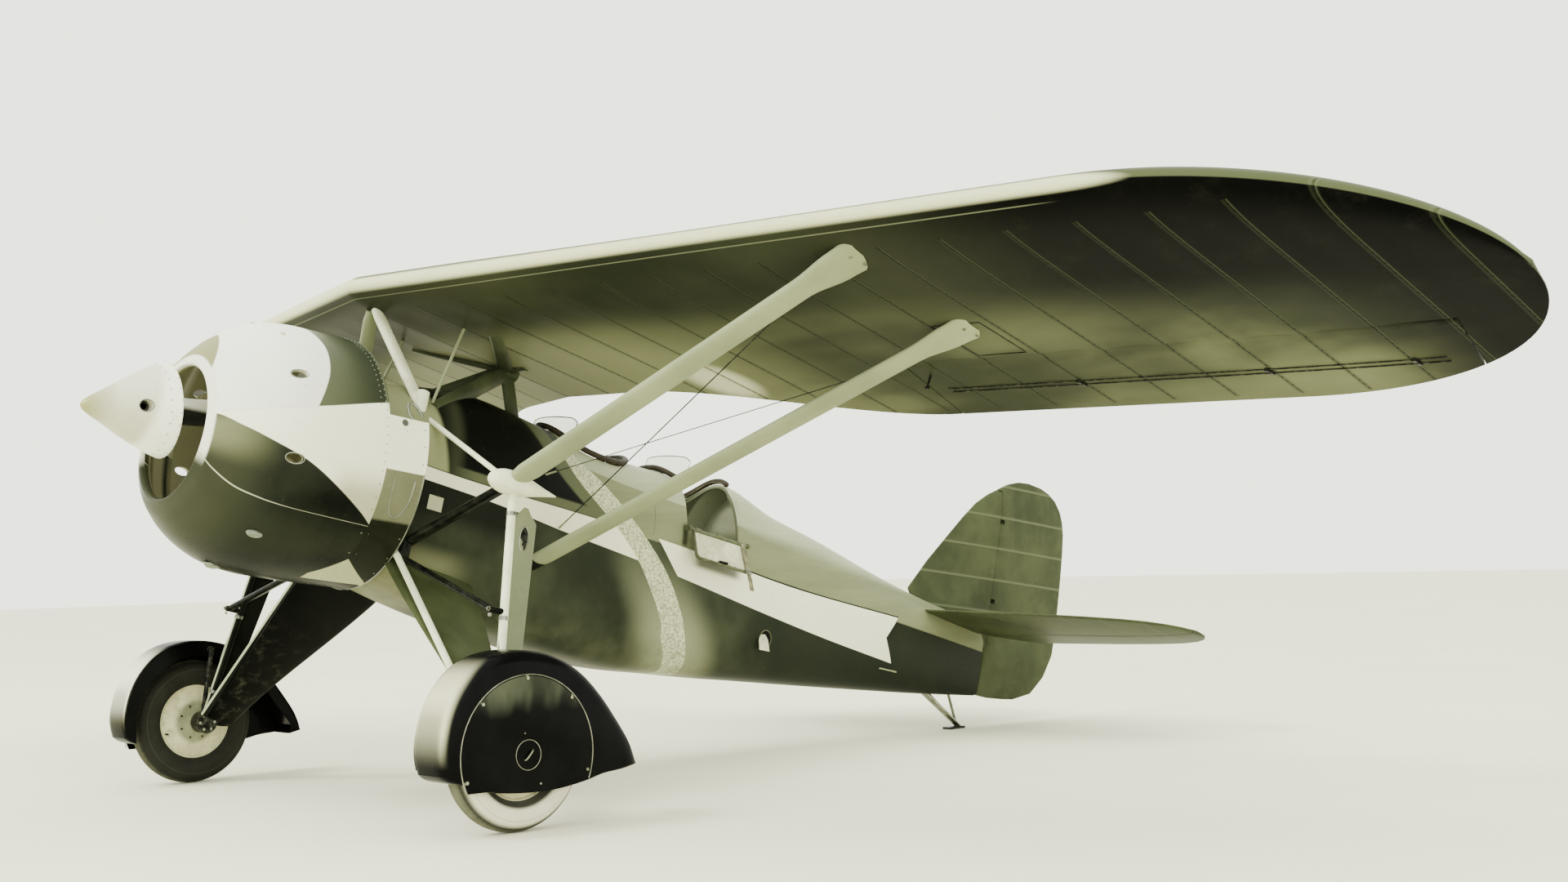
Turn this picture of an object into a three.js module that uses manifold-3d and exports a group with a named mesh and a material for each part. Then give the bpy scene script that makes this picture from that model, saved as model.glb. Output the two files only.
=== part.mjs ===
// Two-seat parasol monoplane with a ring-cowled radial engine, spatted fixed gear and a tail skid.
// Millimetres. X is the left wing tip side (port), Y runs aft, Z is up, the wheels stand on Z = 0.
// The airframe is drawn in its own level frame (x port, y aft from the cowl lip, z up from the thrust line)
// and pitched nose-up onto its wheels and skid.
import * as THREE from "three";
import { mergeVertices } from "three/addons/utils/BufferGeometryUtils.js";
import Module from "manifold-3d";

const wasm = await Module();
wasm.setup();

// Attitude on the ground
const GROUND_ANGLE = THREE.MathUtils.degToRad(14);
const LEVEL_ORIGIN = new THREE.Vector3(0, -824, 1990);
const SEAT_GAP = 0.3;
const SKIN_GAP = 0.4;

// Engine, cowl and propeller, on a thrust line that droops forward
const DROOP = THREE.MathUtils.degToRad(5);
const DROOP_PIVOT = 1000;
const COWL_RADIUS = 632;
const COWL_DROP = 40;
const COWL_RAKE = 0.06;
const COWL_LENGTH = 820;
const COWL_SHEET = 12;
const COWL_SIDES = 36;
const MOUTH_RADIUS = 330;
const SKIRT_LENGTH = 225;
const SKIRT_OPEN_ANGLE = THREE.MathUtils.degToRad(72);
const SPINNER_TIP = -452;
const SPINNER_BACK = -55;
// the propeller shaft and the engine lean further forward than the cowl
const SHAFT_DROOP = THREE.MathUtils.degToRad(7.25);
const BLADE_AXIS = -205;
const BLADE_SOCKET = 27;
const HUB_REACH = 125;
const CRANKCASE_RADIUS = 215;
const CYLINDER_COUNT = 9;
const CYLINDER_PLANE = 400;
const CYLINDER_TOP = 440;
const STAY_REACH = { middle: 655, offset: 148 };
const FIREWALL = 870;

// Fuselage
const COCKPIT_FRONT = 1950;
const COCKPIT_REAR = 3600;
const RUDDER_POST = 6000;
const SHELL = 24;
const RING_POINTS = 28;
// steps of the three stretches of the fuselage
const STEPS = { front: 6, cockpits: 7, rear: 8 };
// station y, half width, top z, bottom z, widest z, upper power, lower power
const FUSELAGE = [
  { y: 870, width: 430, top: 392, bottom: -500, widest: -20, upper: 2.1, lower: 2.6 },
  { y: 1060, width: 455, top: 425, bottom: -600, widest: -30, upper: 2.1, lower: 3.2 },
  { y: 1500, width: 440, top: 500, bottom: -690, widest: -60, upper: 2.2, lower: 3.6 },
  { y: 1950, width: 425, top: 468, bottom: -740, widest: -80, upper: 2.3, lower: 3.8 },
  { y: 2300, width: 412, top: 432, bottom: -765, widest: -90, upper: 2.3, lower: 4 },
  { y: 2750, width: 392, top: 428, bottom: -762, widest: -100, upper: 2.3, lower: 4 },
  { y: 3200, width: 365, top: 470, bottom: -715, widest: -100, upper: 2.2, lower: 4 },
  { y: 3480, width: 343, top: 492, bottom: -684, widest: -100, upper: 2, lower: 3.8 },
  { y: 3820, width: 312, top: 408, bottom: -640, widest: -100, upper: 2, lower: 3.6 },
  { y: 4270, width: 262, top: 350, bottom: -583, widest: -90, upper: 2, lower: 3.3 },
  { y: 4840, width: 196, top: 258, bottom: -508, widest: -80, upper: 2, lower: 3 },
  { y: 5410, width: 122, top: 192, bottom: -430, widest: -60, upper: 2, lower: 2.8 },
  { y: 6000, width: 34, top: 160, bottom: -340, widest: -60, upper: 2.2, lower: 2.6 },
];
// cockpit openings in the decking: centre y, half length, half width, ends of the padded roll in degrees
const COCKPITS = {
  front: { y: 2330, halfLength: 290, halfWidth: 262, rollFrom: -88, rollTo: 268 },
  rear: { y: 3150, halfLength: 270, halfWidth: 250, rollFrom: 68, rollTo: 320 },
};
const ROLL_RADIUS = 17;
const DOOR = { front: 2960, rear: 3390, sill: 110, thick: 14, height: 190, leafAngle: 24, pin: 9 };
const PIN_GAP = 0.6;

// Wing
const SPAN = 10670;
const CHORD = 2000;
const WING_THICKNESS = 236;
const CAMBER = 66;
const SWEEP = Math.tan(THREE.MathUtils.degToRad(11.2));
const DIHEDRAL = Math.tan(THREE.MathUtils.degToRad(1.33));
// extra rise of the leading edge towards the tips
const LEAD_RISE = 0.0165;
const INCIDENCE = THREE.MathUtils.degToRad(6.4);
const WING_NOSE = { y: 747, z: 872 };
const CENTRE_HALF = 450;
const TIP_LENGTH = 1350;
const CUTOUT = { depth: 500, inner: 500, outer: 2150 };
const TRAILING_EDGE = 8;
const AILERON = { inner: 2300, outer: 4900, hinge: 1372, nose: 72, clearance: 8, side: 8, pin: 9 };
const STRUT_STATION = 2880;
const FRONT_SPAR = 250;
const REAR_SPAR = 1020;

// Undercarriage, in the standing frame unless it says otherwise
const TRACK = 3180;
const WHEEL_RADIUS = 345;
const TYRE_WIDTH = 150;
const WHEEL_SIDES = 36;
const RIM_RADIUS = 205;
const AXLE_RADIUS = 26;
const AXLE_INNER = 1474;
const SPAT_OUTER = 1706;
const SPAT_INNER = 1478;
const SPAT_WALL = 18;
const AXLE_OUTER = SPAT_OUTER - SPAT_WALL - SEAT_GAP;
const WHEEL_SPACE = 372;
const LEG_FOOT = 1440;
// where gear and wing struts meet, in the level frame
const APEX = new THREE.Vector3(1167, 1200, -135);
// lug halfway down the leg, on its front side
const LEG_FITTING = new THREE.Vector3(1302, 1140, -760);

// Tail
const TAILPLANE_Z = 112;
const ELEVATOR_HINGE = 5960;
const RUDDER_HINGE = 6045;
const TAIL_THICKNESS = 64;
const HINGE_GAP = 7;
const RUDDER_LUGS = [330, 900];
const RUDDER_PIN = 7;

const PAINT = {
  green: { color: 0x4a4e33, roughness: 0.45, metalness: 0.1 },
  darkGreen: { color: 0x23261a, roughness: 0.3, metalness: 0.1 },
  silver: { color: 0xc9c9c2, roughness: 0.35, metalness: 0.6 },
  strut: { color: 0x8f9068, roughness: 0.4, metalness: 0.1 },
  fabric: { color: 0x55583c, roughness: 0.7, metalness: 0 },
  black: { color: 0x15150f, roughness: 0.2, metalness: 0.1 },
  cream: { color: 0xd9d2b4, roughness: 0.5, metalness: 0.1 },
  rubber: { color: 0x8a8672, roughness: 0.9, metalness: 0 },
  steel: { color: 0x6d6d68, roughness: 0.4, metalness: 0.8 },
  leather: { color: 0x3b2c1e, roughness: 0.6, metalness: 0 },
  glass: { color: 0xbfc9c4, roughness: 0.05, metalness: 0 },
};

// Solids and booleans

function solidOf(geometry) {
  const bare = geometry.index ? geometry.toNonIndexed() : geometry.clone();
  bare.deleteAttribute("normal");
  bare.deleteAttribute("uv");
  const merged = mergeVertices(bare, 1e-3);
  const mesh = new wasm.Mesh({
    numProp: 3,
    vertProperties: new Float32Array(merged.attributes.position.array),
    triVerts: new Uint32Array(merged.index.array),
  });
  return new wasm.Manifold(mesh);
}

function geometryOf(solid) {
  const mesh = solid.getMesh();
  const geometry = new THREE.BufferGeometry();
  geometry.setAttribute("position", new THREE.BufferAttribute(new Float32Array(mesh.vertProperties), 3));
  geometry.setIndex(new THREE.BufferAttribute(new Uint32Array(mesh.triVerts), 1));
  return geometry;
}

function join(...geometries) {
  return geometryOf(geometries.map(solidOf).reduce((sum, next) => sum.add(next)));
}

function cut(geometry, ...tools) {
  return geometryOf(tools.map(solidOf).reduce((rest, tool) => rest.subtract(tool), solidOf(geometry)));
}

function common(geometry, tool) {
  return geometryOf(solidOf(geometry).intersect(solidOf(tool)));
}

// The largest single body of a cut solid
function mainBody(geometry) {
  const bodies = solidOf(geometry).decompose();
  return geometryOf(bodies.reduce((best, body) => (body.volume() > best.volume() ? body : best)));
}

// Rings of points joined into one closed skin, both ends capped about their middles
function loft(rings, capped = true) {
  const count = rings[0].length;
  const points = rings.flat();
  const faces = [];
  const last = capped ? rings.length - 1 : rings.length;
  for (let r = 0; r < last; r++) {
    const here = r * count;
    const next = ((r + 1) % rings.length) * count;
    for (let i = 0; i < count; i++) {
      const j = (i + 1) % count;
      faces.push(here + i, here + j, next + j, here + i, next + j, next + i);
    }
  }
  if (capped) {
    for (const r of [0, rings.length - 1]) {
      const middle = new THREE.Vector3();
      rings[r].forEach((p) => middle.addScaledVector(p, 1 / count));
      const hub = points.push(middle) - 1;
      for (let i = 0; i < count; i++) {
        const a = r * count + i;
        const b = r * count + ((i + 1) % count);
        faces.push(...(r === 0 ? [hub, b, a] : [hub, a, b]));
      }
    }
  }
  const geometry = new THREE.BufferGeometry().setFromPoints(points);
  geometry.setIndex(faces);
  return facingOut(geometry);
}

function facingOut(geometry) {
  const at = geometry.attributes.position;
  const index = geometry.index.array;
  const [a, b, c] = [new THREE.Vector3(), new THREE.Vector3(), new THREE.Vector3()];
  let volume = 0;
  for (let i = 0; i < index.length; i += 3) {
    a.fromBufferAttribute(at, index[i]);
    b.fromBufferAttribute(at, index[i + 1]);
    c.fromBufferAttribute(at, index[i + 2]);
    volume += a.dot(b.cross(c));
  }
  if (volume < 0) {
    for (let i = 0; i < index.length; i += 3) {
      [index[i], index[i + 1]] = [index[i + 1], index[i]];
    }
  }
  return geometry;
}

function box(low, high) {
  const size = new THREE.Vector3().subVectors(high, low);
  const middle = new THREE.Vector3().addVectors(low, high).multiplyScalar(0.5);
  return new THREE.BoxGeometry(size.x, size.y, size.z).translate(middle.x, middle.y, middle.z);
}

const vec = (x, y, z) => new THREE.Vector3(x, y, z);

// A round bar between two points, its radius changing evenly
function bar(from, to, radius, endRadius = radius, sides = 10) {
  const along = vec(0, 0, 0).subVectors(to, from);
  const turn = new THREE.Quaternion().setFromUnitVectors(vec(0, 1, 0), along.clone().normalize());
  return new THREE.CylinderGeometry(endRadius, radius, along.length(), sides)
    .translate(0, along.length() / 2, 0)
    .applyQuaternion(turn)
    .translate(from.x, from.y, from.z);
}

// A streamlined strut: sections are {at, chord, thick} with at from 0 to 1 along the strut
function strut(from, to, sections, chordwise = vec(0, 1, 0), points = 10) {
  const along = vec(0, 0, 0).subVectors(to, from);
  const axis = along.clone().normalize();
  const fore = chordwise.clone().addScaledVector(axis, -chordwise.dot(axis)).normalize();
  const side = vec(0, 0, 0).crossVectors(axis, fore);
  return loft(
    sections.map(({ at, chord, thick, shift = 0 }) => {
      const middle = from.clone().addScaledVector(along, at).addScaledVector(fore, shift);
      const ring = [];
      for (let i = 0; i < points; i++) {
        const turn = (2 * Math.PI * i) / points;
        const x = Math.cos(turn);
        // fuller towards the leading edge, which is the low side of the chord
        const y = Math.sin(turn) * (1 - 0.35 * x);
        const ahead = middle.clone().addScaledVector(fore, (x * chord) / 2);
        ring.push(ahead.addScaledVector(side, (y * thick) / 2));
      }
      return ring;
    }),
  );
}

const even = (chord, thick) => [
  { at: 0, chord, thick },
  { at: 1, chord, thick },
];

// Smooth value of one column of a table of stations
function smooth(table, key, column, at) {
  const last = table.length - 1;
  let k = table.findIndex((row) => row[key] > at) - 1;
  if (k === -2) k = last - 1;
  k = THREE.MathUtils.clamp(k, 0, last - 1);
  const slope = (i) => {
    const a = table[Math.max(i - 1, 0)];
    const b = table[Math.min(i + 1, last)];
    return (b[column] - a[column]) / (b[key] - a[key]);
  };
  const width = table[k + 1][key] - table[k][key];
  const t = (at - table[k][key]) / width;
  const [t2, t3] = [t * t, t * t * t];
  return (
    (2 * t3 - 3 * t2 + 1) * table[k][column] +
    (t3 - 2 * t2 + t) * width * slope(k) +
    (3 * t2 - 2 * t3) * table[k + 1][column] +
    (t3 - t2) * width * slope(k + 1)
  );
}

// Engine and nose, in the drooped thrust-line frame

function droop(geometry) {
  return geometry.translate(0, -DROOP_PIVOT, 0).rotateX(DROOP).translate(0, DROOP_PIVOT, 0);
}

// Shaft, spinner and engine: leaned about the spinner's tip, then drooped with the nose
function onShaft(geometry) {
  return droop(geometry.translate(0, -SPINNER_TIP, 0).rotateX(SHAFT_DROOP).translate(0, SPINNER_TIP, 0));
}

// A profile of [y, radius] pairs turned about the thrust line
function turned(profile, segments = 48) {
  const points = profile.map(([y, radius]) => new THREE.Vector2(radius, y));
  const geometry = new THREE.LatheGeometry(points, segments);
  return facingOut(indexed(geometry));
}

function indexed(geometry) {
  geometry.deleteAttribute("normal");
  geometry.deleteAttribute("uv");
  return mergeVertices(geometry, 1e-3);
}

// Swell of the cowl from its lip to its full radius: [y, radius]
const COWL_PROFILE = [
  [15, MOUTH_RADIUS + 29],
  [65, MOUTH_RADIUS + 111],
  [125, 500],
  [205, 556],
  [305, 602],
  [435, 628],
  [COWL_LENGTH, COWL_RADIUS],
];
// Its inner wall needs fewer steps
const COWL_WALL = [COWL_PROFILE[2], COWL_PROFILE[4], COWL_PROFILE[6]];

function cowlRing() {
  const inner = COWL_WALL.toReversed().map(([y, r]) => [y, r - COWL_SHEET]);
  const lip = [
    [90, MOUTH_RADIUS + 60],
    [50, MOUTH_RADIUS + 6],
    [22, MOUTH_RADIUS],
    [8, MOUTH_RADIUS + 10],
  ];
  const profile = [...COWL_PROFILE, ...inner, ...lip, COWL_PROFILE[0]];
  return cowlPlaced(turned(profile, COWL_SIDES));
}

// The cowl hangs a little below the thrust line, with its mouth raked back at the top
function cowlPlaced(geometry) {
  const at = geometry.attributes.position;
  for (let i = 0; i < at.count; i++) {
    const [y, z] = [at.getY(i), at.getZ(i)];
    const fade = THREE.MathUtils.clamp(1 - y / 420, 0, 1);
    at.setY(i, y + COWL_RAKE * z * fade);
  }
  return droop(geometry.translate(0, 0, -COWL_DROP));
}

// The fixed band behind the ring, open over the top
function cowlSkirt() {
  const front = COWL_LENGTH + SEAT_GAP;
  const back = front + SKIRT_LENGTH;
  const steps = 26;
  const rings = [];
  for (let i = 0; i <= steps; i++) {
    const turn = SKIRT_OPEN_ANGLE + ((2 * Math.PI - 2 * SKIRT_OPEN_ANGLE) * i) / steps;
    rings.push(
      [
        [front, COWL_RADIUS],
        [back, COWL_RADIUS - 4],
        [back, COWL_RADIUS - 4 - COWL_SHEET],
        [front, COWL_RADIUS - COWL_SHEET],
      ].map(([y, r]) => vec(r * Math.sin(turn), y, r * Math.cos(turn))),
    );
  }
  return cowlPlaced(loft(rings));
}

function engine() {
  const crankcase = turned([
    [180, 0],
    [180, 70],
    [250, 130],
    [300, CRANKCASE_RADIUS],
    [520, CRANKCASE_RADIUS],
    [640, 190],
    [700, 120],
    [FIREWALL + 60, 120],
    [FIREWALL + 60, 0],
  ], 24);
  const pieces = [crankcase];
  for (let i = 0; i < CYLINDER_COUNT; i++) {
    const turn = (2 * Math.PI * i) / CYLINDER_COUNT;
    const barrel = new THREE.LatheGeometry(
      [
        [0, 150],
        [70, 150],
        [70, 235],
        [92, 262],
        [76, 290],
        [98, 345],
        [98, CYLINDER_TOP - 20],
        [70, CYLINDER_TOP],
        [0, CYLINDER_TOP],
      ].map(([r, up]) => new THREE.Vector2(r, up)),
      8,
    );
    const cylinder = facingOut(indexed(barrel)).rotateX(Math.PI / 2).translate(0, CYLINDER_PLANE, 0);
    // a stay from the cylinder head carries the cowl ring, longer below as the cowl hangs low
    const reach = STAY_REACH.middle - STAY_REACH.offset * Math.cos(turn);
    const stay = bar(vec(0, CYLINDER_PLANE, 400), vec(0, CYLINDER_PLANE, reach), 14, 14, 8);
    for (const piece of [cylinder, stay]) pieces.push(piece.rotateY(turn));
  }
  return mainBody(cut(onShaft(join(...pieces)), grownFuselage(), cowlGrownInward()));
}

// The cowl ring's inner wall with the gap that touching pieces keep
function cowlGrownInward() {
  const inner = COWL_WALL.map(([y, r]) => [y, r - COWL_SHEET - SEAT_GAP]);
  const outer = [[COWL_LENGTH, COWL_RADIUS + 60], [COWL_WALL[0][0], COWL_RADIUS + 60]];
  return cowlPlaced(turned([...inner, ...outer, inner[0]], COWL_SIDES));
}

function spinner() {
  const body = turned([
    [SPINNER_TIP, 0],
    [SPINNER_TIP + 6, 15],
    [SPINNER_TIP + 40, 44],
    [SPINNER_TIP + 200, 139],
    [-90, 221],
    [SPINNER_BACK, 232],
    [SPINNER_BACK, 66],
    [180 - SEAT_GAP, 66],
    [180 - SEAT_GAP, 0],
  ], 30);
  return onShaft(cut(body, hubRod(400, BLADE_SOCKET + SEAT_GAP)));
}

function hubRod(reach, radius) {
  return bar(vec(-reach, BLADE_AXIS, 0), vec(reach, BLADE_AXIS, 0), radius, radius, 20);
}

// The propeller's hub inside the spinner: its two blade sockets are empty
function propellerHub() {
  const along = (reach) => vec(reach, BLADE_AXIS, 0);
  const sockets = [1, -1].map((side) =>
    bar(along(side * (HUB_REACH - 70)), along(side * (HUB_REACH + 5)), 17, 17, 16),
  );
  return onShaft(cut(hubRod(HUB_REACH, BLADE_SOCKET), ...sockets));
}

// Fuselage

function fuselageRing(y, grow = 0) {
  const column = (name) => smooth(FUSELAGE, "y", name, y);
  const [width, widest] = [column("width") + grow, column("widest")];
  const up = column("top") + grow - widest;
  const down = widest - column("bottom") + grow;
  const ring = [];
  for (let i = 0; i < RING_POINTS; i++) {
    const turn = (2 * Math.PI * (i + 0.5)) / RING_POINTS;
    const [c, s] = [Math.cos(turn), Math.sin(turn)];
    const power = 2 / (s > 0 ? column("upper") : column("lower"));
    const x = width * Math.sign(c) * Math.abs(c) ** power;
    const z = widest + (s > 0 ? up : down) * Math.sign(s) * Math.abs(s) ** power;
    ring.push(vec(x, y, z));
  }
  return ring;
}

function fuselage(from, to, steps, grow = 0) {
  const rings = [];
  for (let i = 0; i <= steps; i++) rings.push(fuselageRing(from + ((to - from) * i) / steps, grow));
  return loft(rings);
}

// Upright stadium-like plug that opens a cockpit through the decking
function cockpitPlug({ y, halfLength, halfWidth }) {
  const rings = [0, 700].map((z) => {
    const ring = [];
    for (let i = 0; i < 24; i++) {
      const turn = (2 * Math.PI * i) / 24;
      const [c, s] = [Math.cos(turn), Math.sin(turn)];
      const x = halfWidth * Math.sign(c) * Math.abs(c) ** 0.7;
      ring.push(vec(x, y + halfLength * Math.sign(s) * Math.abs(s) ** 0.7, z));
    }
    return ring;
  });
  return loft(rings);
}

// Pin line of the side door, between two stations
function doorPin(from, to, radius) {
  const turn = THREE.MathUtils.degToRad(DOOR.leafAngle);
  const x = smooth(FUSELAGE, "y", "width", 3180) + 30 + (DOOR.thick / 2) * Math.cos(turn);
  const z = DOOR.sill - 20 + (DOOR.thick / 2) * Math.sin(turn);
  return bar(vec(x, from, z), vec(x, to, z), radius, radius, 20);
}

// The two lugs on the body that hold the ends of the door's pin
function doorLugs() {
  const inside = smooth(FUSELAGE, "y", "width", 3180) - 40;
  const lugs = [DOOR.front - 20, DOOR.rear + 6].map((y) =>
    join(box(vec(inside, y, 78), vec(inside + 76, y + 14, 108)), doorPin(y, y + 14, 16)),
  );
  return cut(join(...lugs), doorPin(DOOR.front - 30, DOOR.rear + 30, DOOR.pin + PIN_GAP));
}

// The hollow inside the cockpit stretch, shrunk by a gap
function cabin(gap) {
  return fuselage(COCKPIT_FRONT + SHELL + gap, COCKPIT_REAR - SHELL - gap, STEPS.cockpits, -SHELL - gap);
}

function fuselageCockpits() {
  const outer = fuselage(COCKPIT_FRONT + SEAT_GAP, COCKPIT_REAR - SEAT_GAP, STEPS.cockpits);
  const front = cockpitPlug(COCKPITS.front);
  const rear = cockpitPlug(COCKPITS.rear);
  const doorHole = box(vec(150, DOOR.front, DOOR.sill), vec(600, DOOR.rear, 700));
  return cut(join(outer, doorLugs()), cabin(0), front, rear, doorHole);
}

const fuselageFront = () => fuselage(FIREWALL, COCKPIT_FRONT, STEPS.front);
const fuselageRear = () => cut(fuselage(COCKPIT_REAR, RUDDER_POST, STEPS.rear), elevatorTube(PIN_GAP));

// Point on the decking surface above (x, y)
function deckHeight(x, y) {
  const ring = fuselageRing(y).filter((p) => p.z > smooth(FUSELAGE, "y", "widest", y));
  ring.sort((a, b) => a.x - b.x);
  const k = THREE.MathUtils.clamp(ring.findIndex((p) => p.x > x), 1, ring.length - 1);
  const [a, b] = [ring[k - 1], ring[k]];
  return a.z + ((b.z - a.z) * (x - a.x)) / (b.x - a.x);
}

// A padded roll round a cockpit edge
function coaming({ y, halfLength, halfWidth, rollFrom, rollTo }, grow = 0) {
  const radius = ROLL_RADIUS + grow;
  const rings = [];
  const steps = 22;
  const sides = 6;
  const path = [];
  for (let i = 0; i < steps; i++) {
    const turn = THREE.MathUtils.degToRad(rollFrom + ((rollTo - rollFrom) * i) / (steps - 1));
    const [c, s] = [Math.cos(turn), Math.sin(turn)];
    const x = (halfWidth - 1) * Math.sign(c) * Math.abs(c) ** 0.7;
    const at = y + (halfLength - 1) * Math.sign(s) * Math.abs(s) ** 0.7;
    path.push(vec(x, at, deckHeight(x, at) + ROLL_RADIUS + 3));
  }
  for (let i = 0; i < steps; i++) {
    const a = path[Math.max(i - 1, 0)];
    const b = path[Math.min(i + 1, steps - 1)];
    const along = vec(0, 0, 0).subVectors(b, a).normalize();
    const out = vec(along.y, -along.x, 0).normalize();
    const up = vec(0, 0, 0).crossVectors(out, along);
    const ring = [];
    for (let k = 0; k < sides; k++) {
      const turn = (2 * Math.PI * k) / sides;
      const offset = out.clone().multiplyScalar(Math.cos(turn)).addScaledVector(up, Math.sin(turn));
      ring.push(path[i].clone().addScaledVector(offset, radius));
    }
    rings.push(ring);
  }
  return loft(rings);
}

// Wing

// Upper and lower height of the section at a fraction of its chord
function wingSection(fraction, thickness, camber) {
  const f = THREE.MathUtils.clamp(fraction, 0, 1);
  const half =
    (thickness / 0.2) *
    (0.2969 * Math.sqrt(f) - 0.126 * f - 0.3516 * f * f + 0.2843 * f ** 3 - 0.1036 * f ** 4);
  const bow = f < 0.4 ? (camber / 0.16) * (0.8 * f - f * f) : (camber / 0.36) * (0.2 + 0.8 * f - f * f);
  return { upper: bow + half + (TRAILING_EDGE / 2) * f, lower: bow - half - (TRAILING_EDGE / 2) * f };
}

function smoothStep(t) {
  const c = THREE.MathUtils.clamp(t, 0, 1);
  return c * c * (3 - 2 * c);
}

// Leading edge, trailing edge and fullness of the wing at a span station, measured from the centre's nose
function planform(x) {
  const span = Math.abs(x);
  const tipStart = SPAN / 2 - TIP_LENGTH;
  const round = span > tipStart ? Math.sqrt(Math.max(0, 1 - ((span - tipStart) / TIP_LENGTH) ** 2)) : 1;
  const gone = CUTOUT.depth * (1 - smoothStep((span - CUTOUT.inner) / (CUTOUT.outer - CUTOUT.inner)));
  const middle = span * SWEEP + CHORD / 2;
  return { lead: middle - (CHORD / 2) * round, trail: middle + (CHORD / 2) * round - gone, round };
}

// A wing point from its span station, distance aft of the centre's nose and height off the chord plane
function wingPoint(x, aft, height) {
  const swept = Math.abs(x) * SWEEP;
  const local = aft - swept;
  const [c, s] = [Math.cos(INCIDENCE), Math.sin(INCIDENCE)];
  const y = WING_NOSE.y + swept + local * c + height * s;
  const lift = Math.abs(x) * (DIHEDRAL + LEAD_RISE * (1 - local / CHORD));
  return vec(x, y, WING_NOSE.z + lift + height * c - local * s);
}

const SECTION_STEPS = [0, 0.01, 0.045, 0.12, 0.25, 0.42, 0.62, 0.82, 1];

function wingRing(x, grow = 0) {
  const { lead, trail, round } = planform(x);
  const chord = trail - lead;
  const fullness = Math.max(round, 0.12);
  const thick = WING_THICKNESS * fullness;
  const camber = CAMBER * fullness;
  const upper = SECTION_STEPS.map((f) => {
    const z = wingSection(f, thick, camber).upper + grow;
    return wingPoint(x, lead + f * chord, z);
  });
  const lower = SECTION_STEPS.map((f) => {
    const z = wingSection(f, thick, camber).lower - grow;
    return wingPoint(x, lead + f * chord, z);
  });
  upper[0] = wingPoint(x, lead - grow, 0);
  return [...upper, ...lower.slice(1).reverse()];
}

function wingStations(from, to) {
  const tipStart = SPAN / 2 - TIP_LENGTH;
  const tip = [18, 36, 52, 66, 77, 85, 89.3].map(
    (degrees) => tipStart + TIP_LENGTH * Math.sin(THREE.MathUtils.degToRad(degrees)),
  );
  const inner = [900, 1200, 1500, 1800, 2150, 2600, 3300, tipStart, ...tip];
  return [from, ...inner.filter((x) => x > from + 1 && x < to - 1), to];
}

const WING_END = SPAN / 2 - TIP_LENGTH * (1 - Math.sin(THREE.MathUtils.degToRad(89.3)));

function wingSolid(side, from, to, grow = 0) {
  return loft(wingStations(from, to).map((x) => wingRing(side * x, grow)));
}

// Aileron hinge: a straight line at a fixed distance behind the leading edge
function hingeEnds(side) {
  const at = (x) => {
    const aft = x * SWEEP + AILERON.hinge;
    const mid = wingSection(AILERON.hinge / CHORD, WING_THICKNESS, CAMBER);
    return wingPoint(side * x, aft, (mid.upper + mid.lower) / 2);
  };
  return [at(AILERON.inner), at(AILERON.outer)];
}

// The space of an aileron: a long box behind the hinge with a round nose on it
function aileronSpace(side, nose, clearance) {
  const [inner, outer] = hingeEnds(side);
  const along = vec(0, 0, 0).subVectors(outer, inner).normalize();
  const from = inner.clone().addScaledVector(along, -clearance);
  const to = outer.clone().addScaledVector(along, clearance);
  const aft = vec(0, 1, 0).addScaledVector(along, -along.y).normalize();
  const up = vec(0, 0, 0).crossVectors(aft, along).multiplyScalar(-side).normalize();
  const corners = (p) => [
    p.clone().addScaledVector(up, nose),
    p.clone().addScaledVector(up, nose).addScaledVector(aft, 900),
    p.clone().addScaledVector(up, -nose).addScaledVector(aft, 900).addScaledVector(up, -200),
    p.clone().addScaledVector(up, -nose),
  ];
  return join(loft([corners(from), corners(to)]), bar(from, to, nose, nose, 24));
}

// Pins of the aileron hinge, one at each end
function aileronPins(side, radius, inside) {
  const [inner, outer] = hingeEnds(side);
  const along = vec(0, 0, 0).subVectors(outer, inner).normalize();
  return [[inner, 1], [outer, -1]].map(([end, inward]) => {
    const from = end.clone().addScaledVector(along, -inward * (AILERON.side + 10));
    const to = end.clone().addScaledVector(along, inward * inside);
    return bar(from, to, radius, radius, 20);
  });
}

function wingPanel(side) {
  const whole = wingSolid(side, CENTRE_HALF + SEAT_GAP, WING_END);
  const space = aileronSpace(side, AILERON.nose + AILERON.clearance, AILERON.side);
  return mainBody(join(cut(whole, space), ...aileronPins(side, AILERON.pin, 18)));
}

function aileron(side) {
  const whole = wingSolid(side, CENTRE_HALF + SEAT_GAP, WING_END);
  const solid = common(whole, aileronSpace(side, AILERON.nose, 0));
  return mainBody(cut(solid, ...aileronPins(side, AILERON.pin + PIN_GAP, 24)));
}

function wingCentre() {
  const xs = [-CENTRE_HALF, -150, 150, CENTRE_HALF];
  return loft(xs.map((x) => wingRing(x)));
}

// Spot on the wing's underside
function underside(x, fromLead) {
  const { lead, trail, round } = planform(x);
  const section = wingSection(fromLead / (trail - lead), WING_THICKNESS * round, CAMBER * round);
  return wingPoint(x, lead + fromLead, section.lower);
}

// Struts and undercarriage

function toLevel(x, y, z) {
  return vec(x, y, z).sub(LEVEL_ORIGIN).applyAxisAngle(vec(1, 0, 0), GROUND_ANGLE);
}

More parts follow.
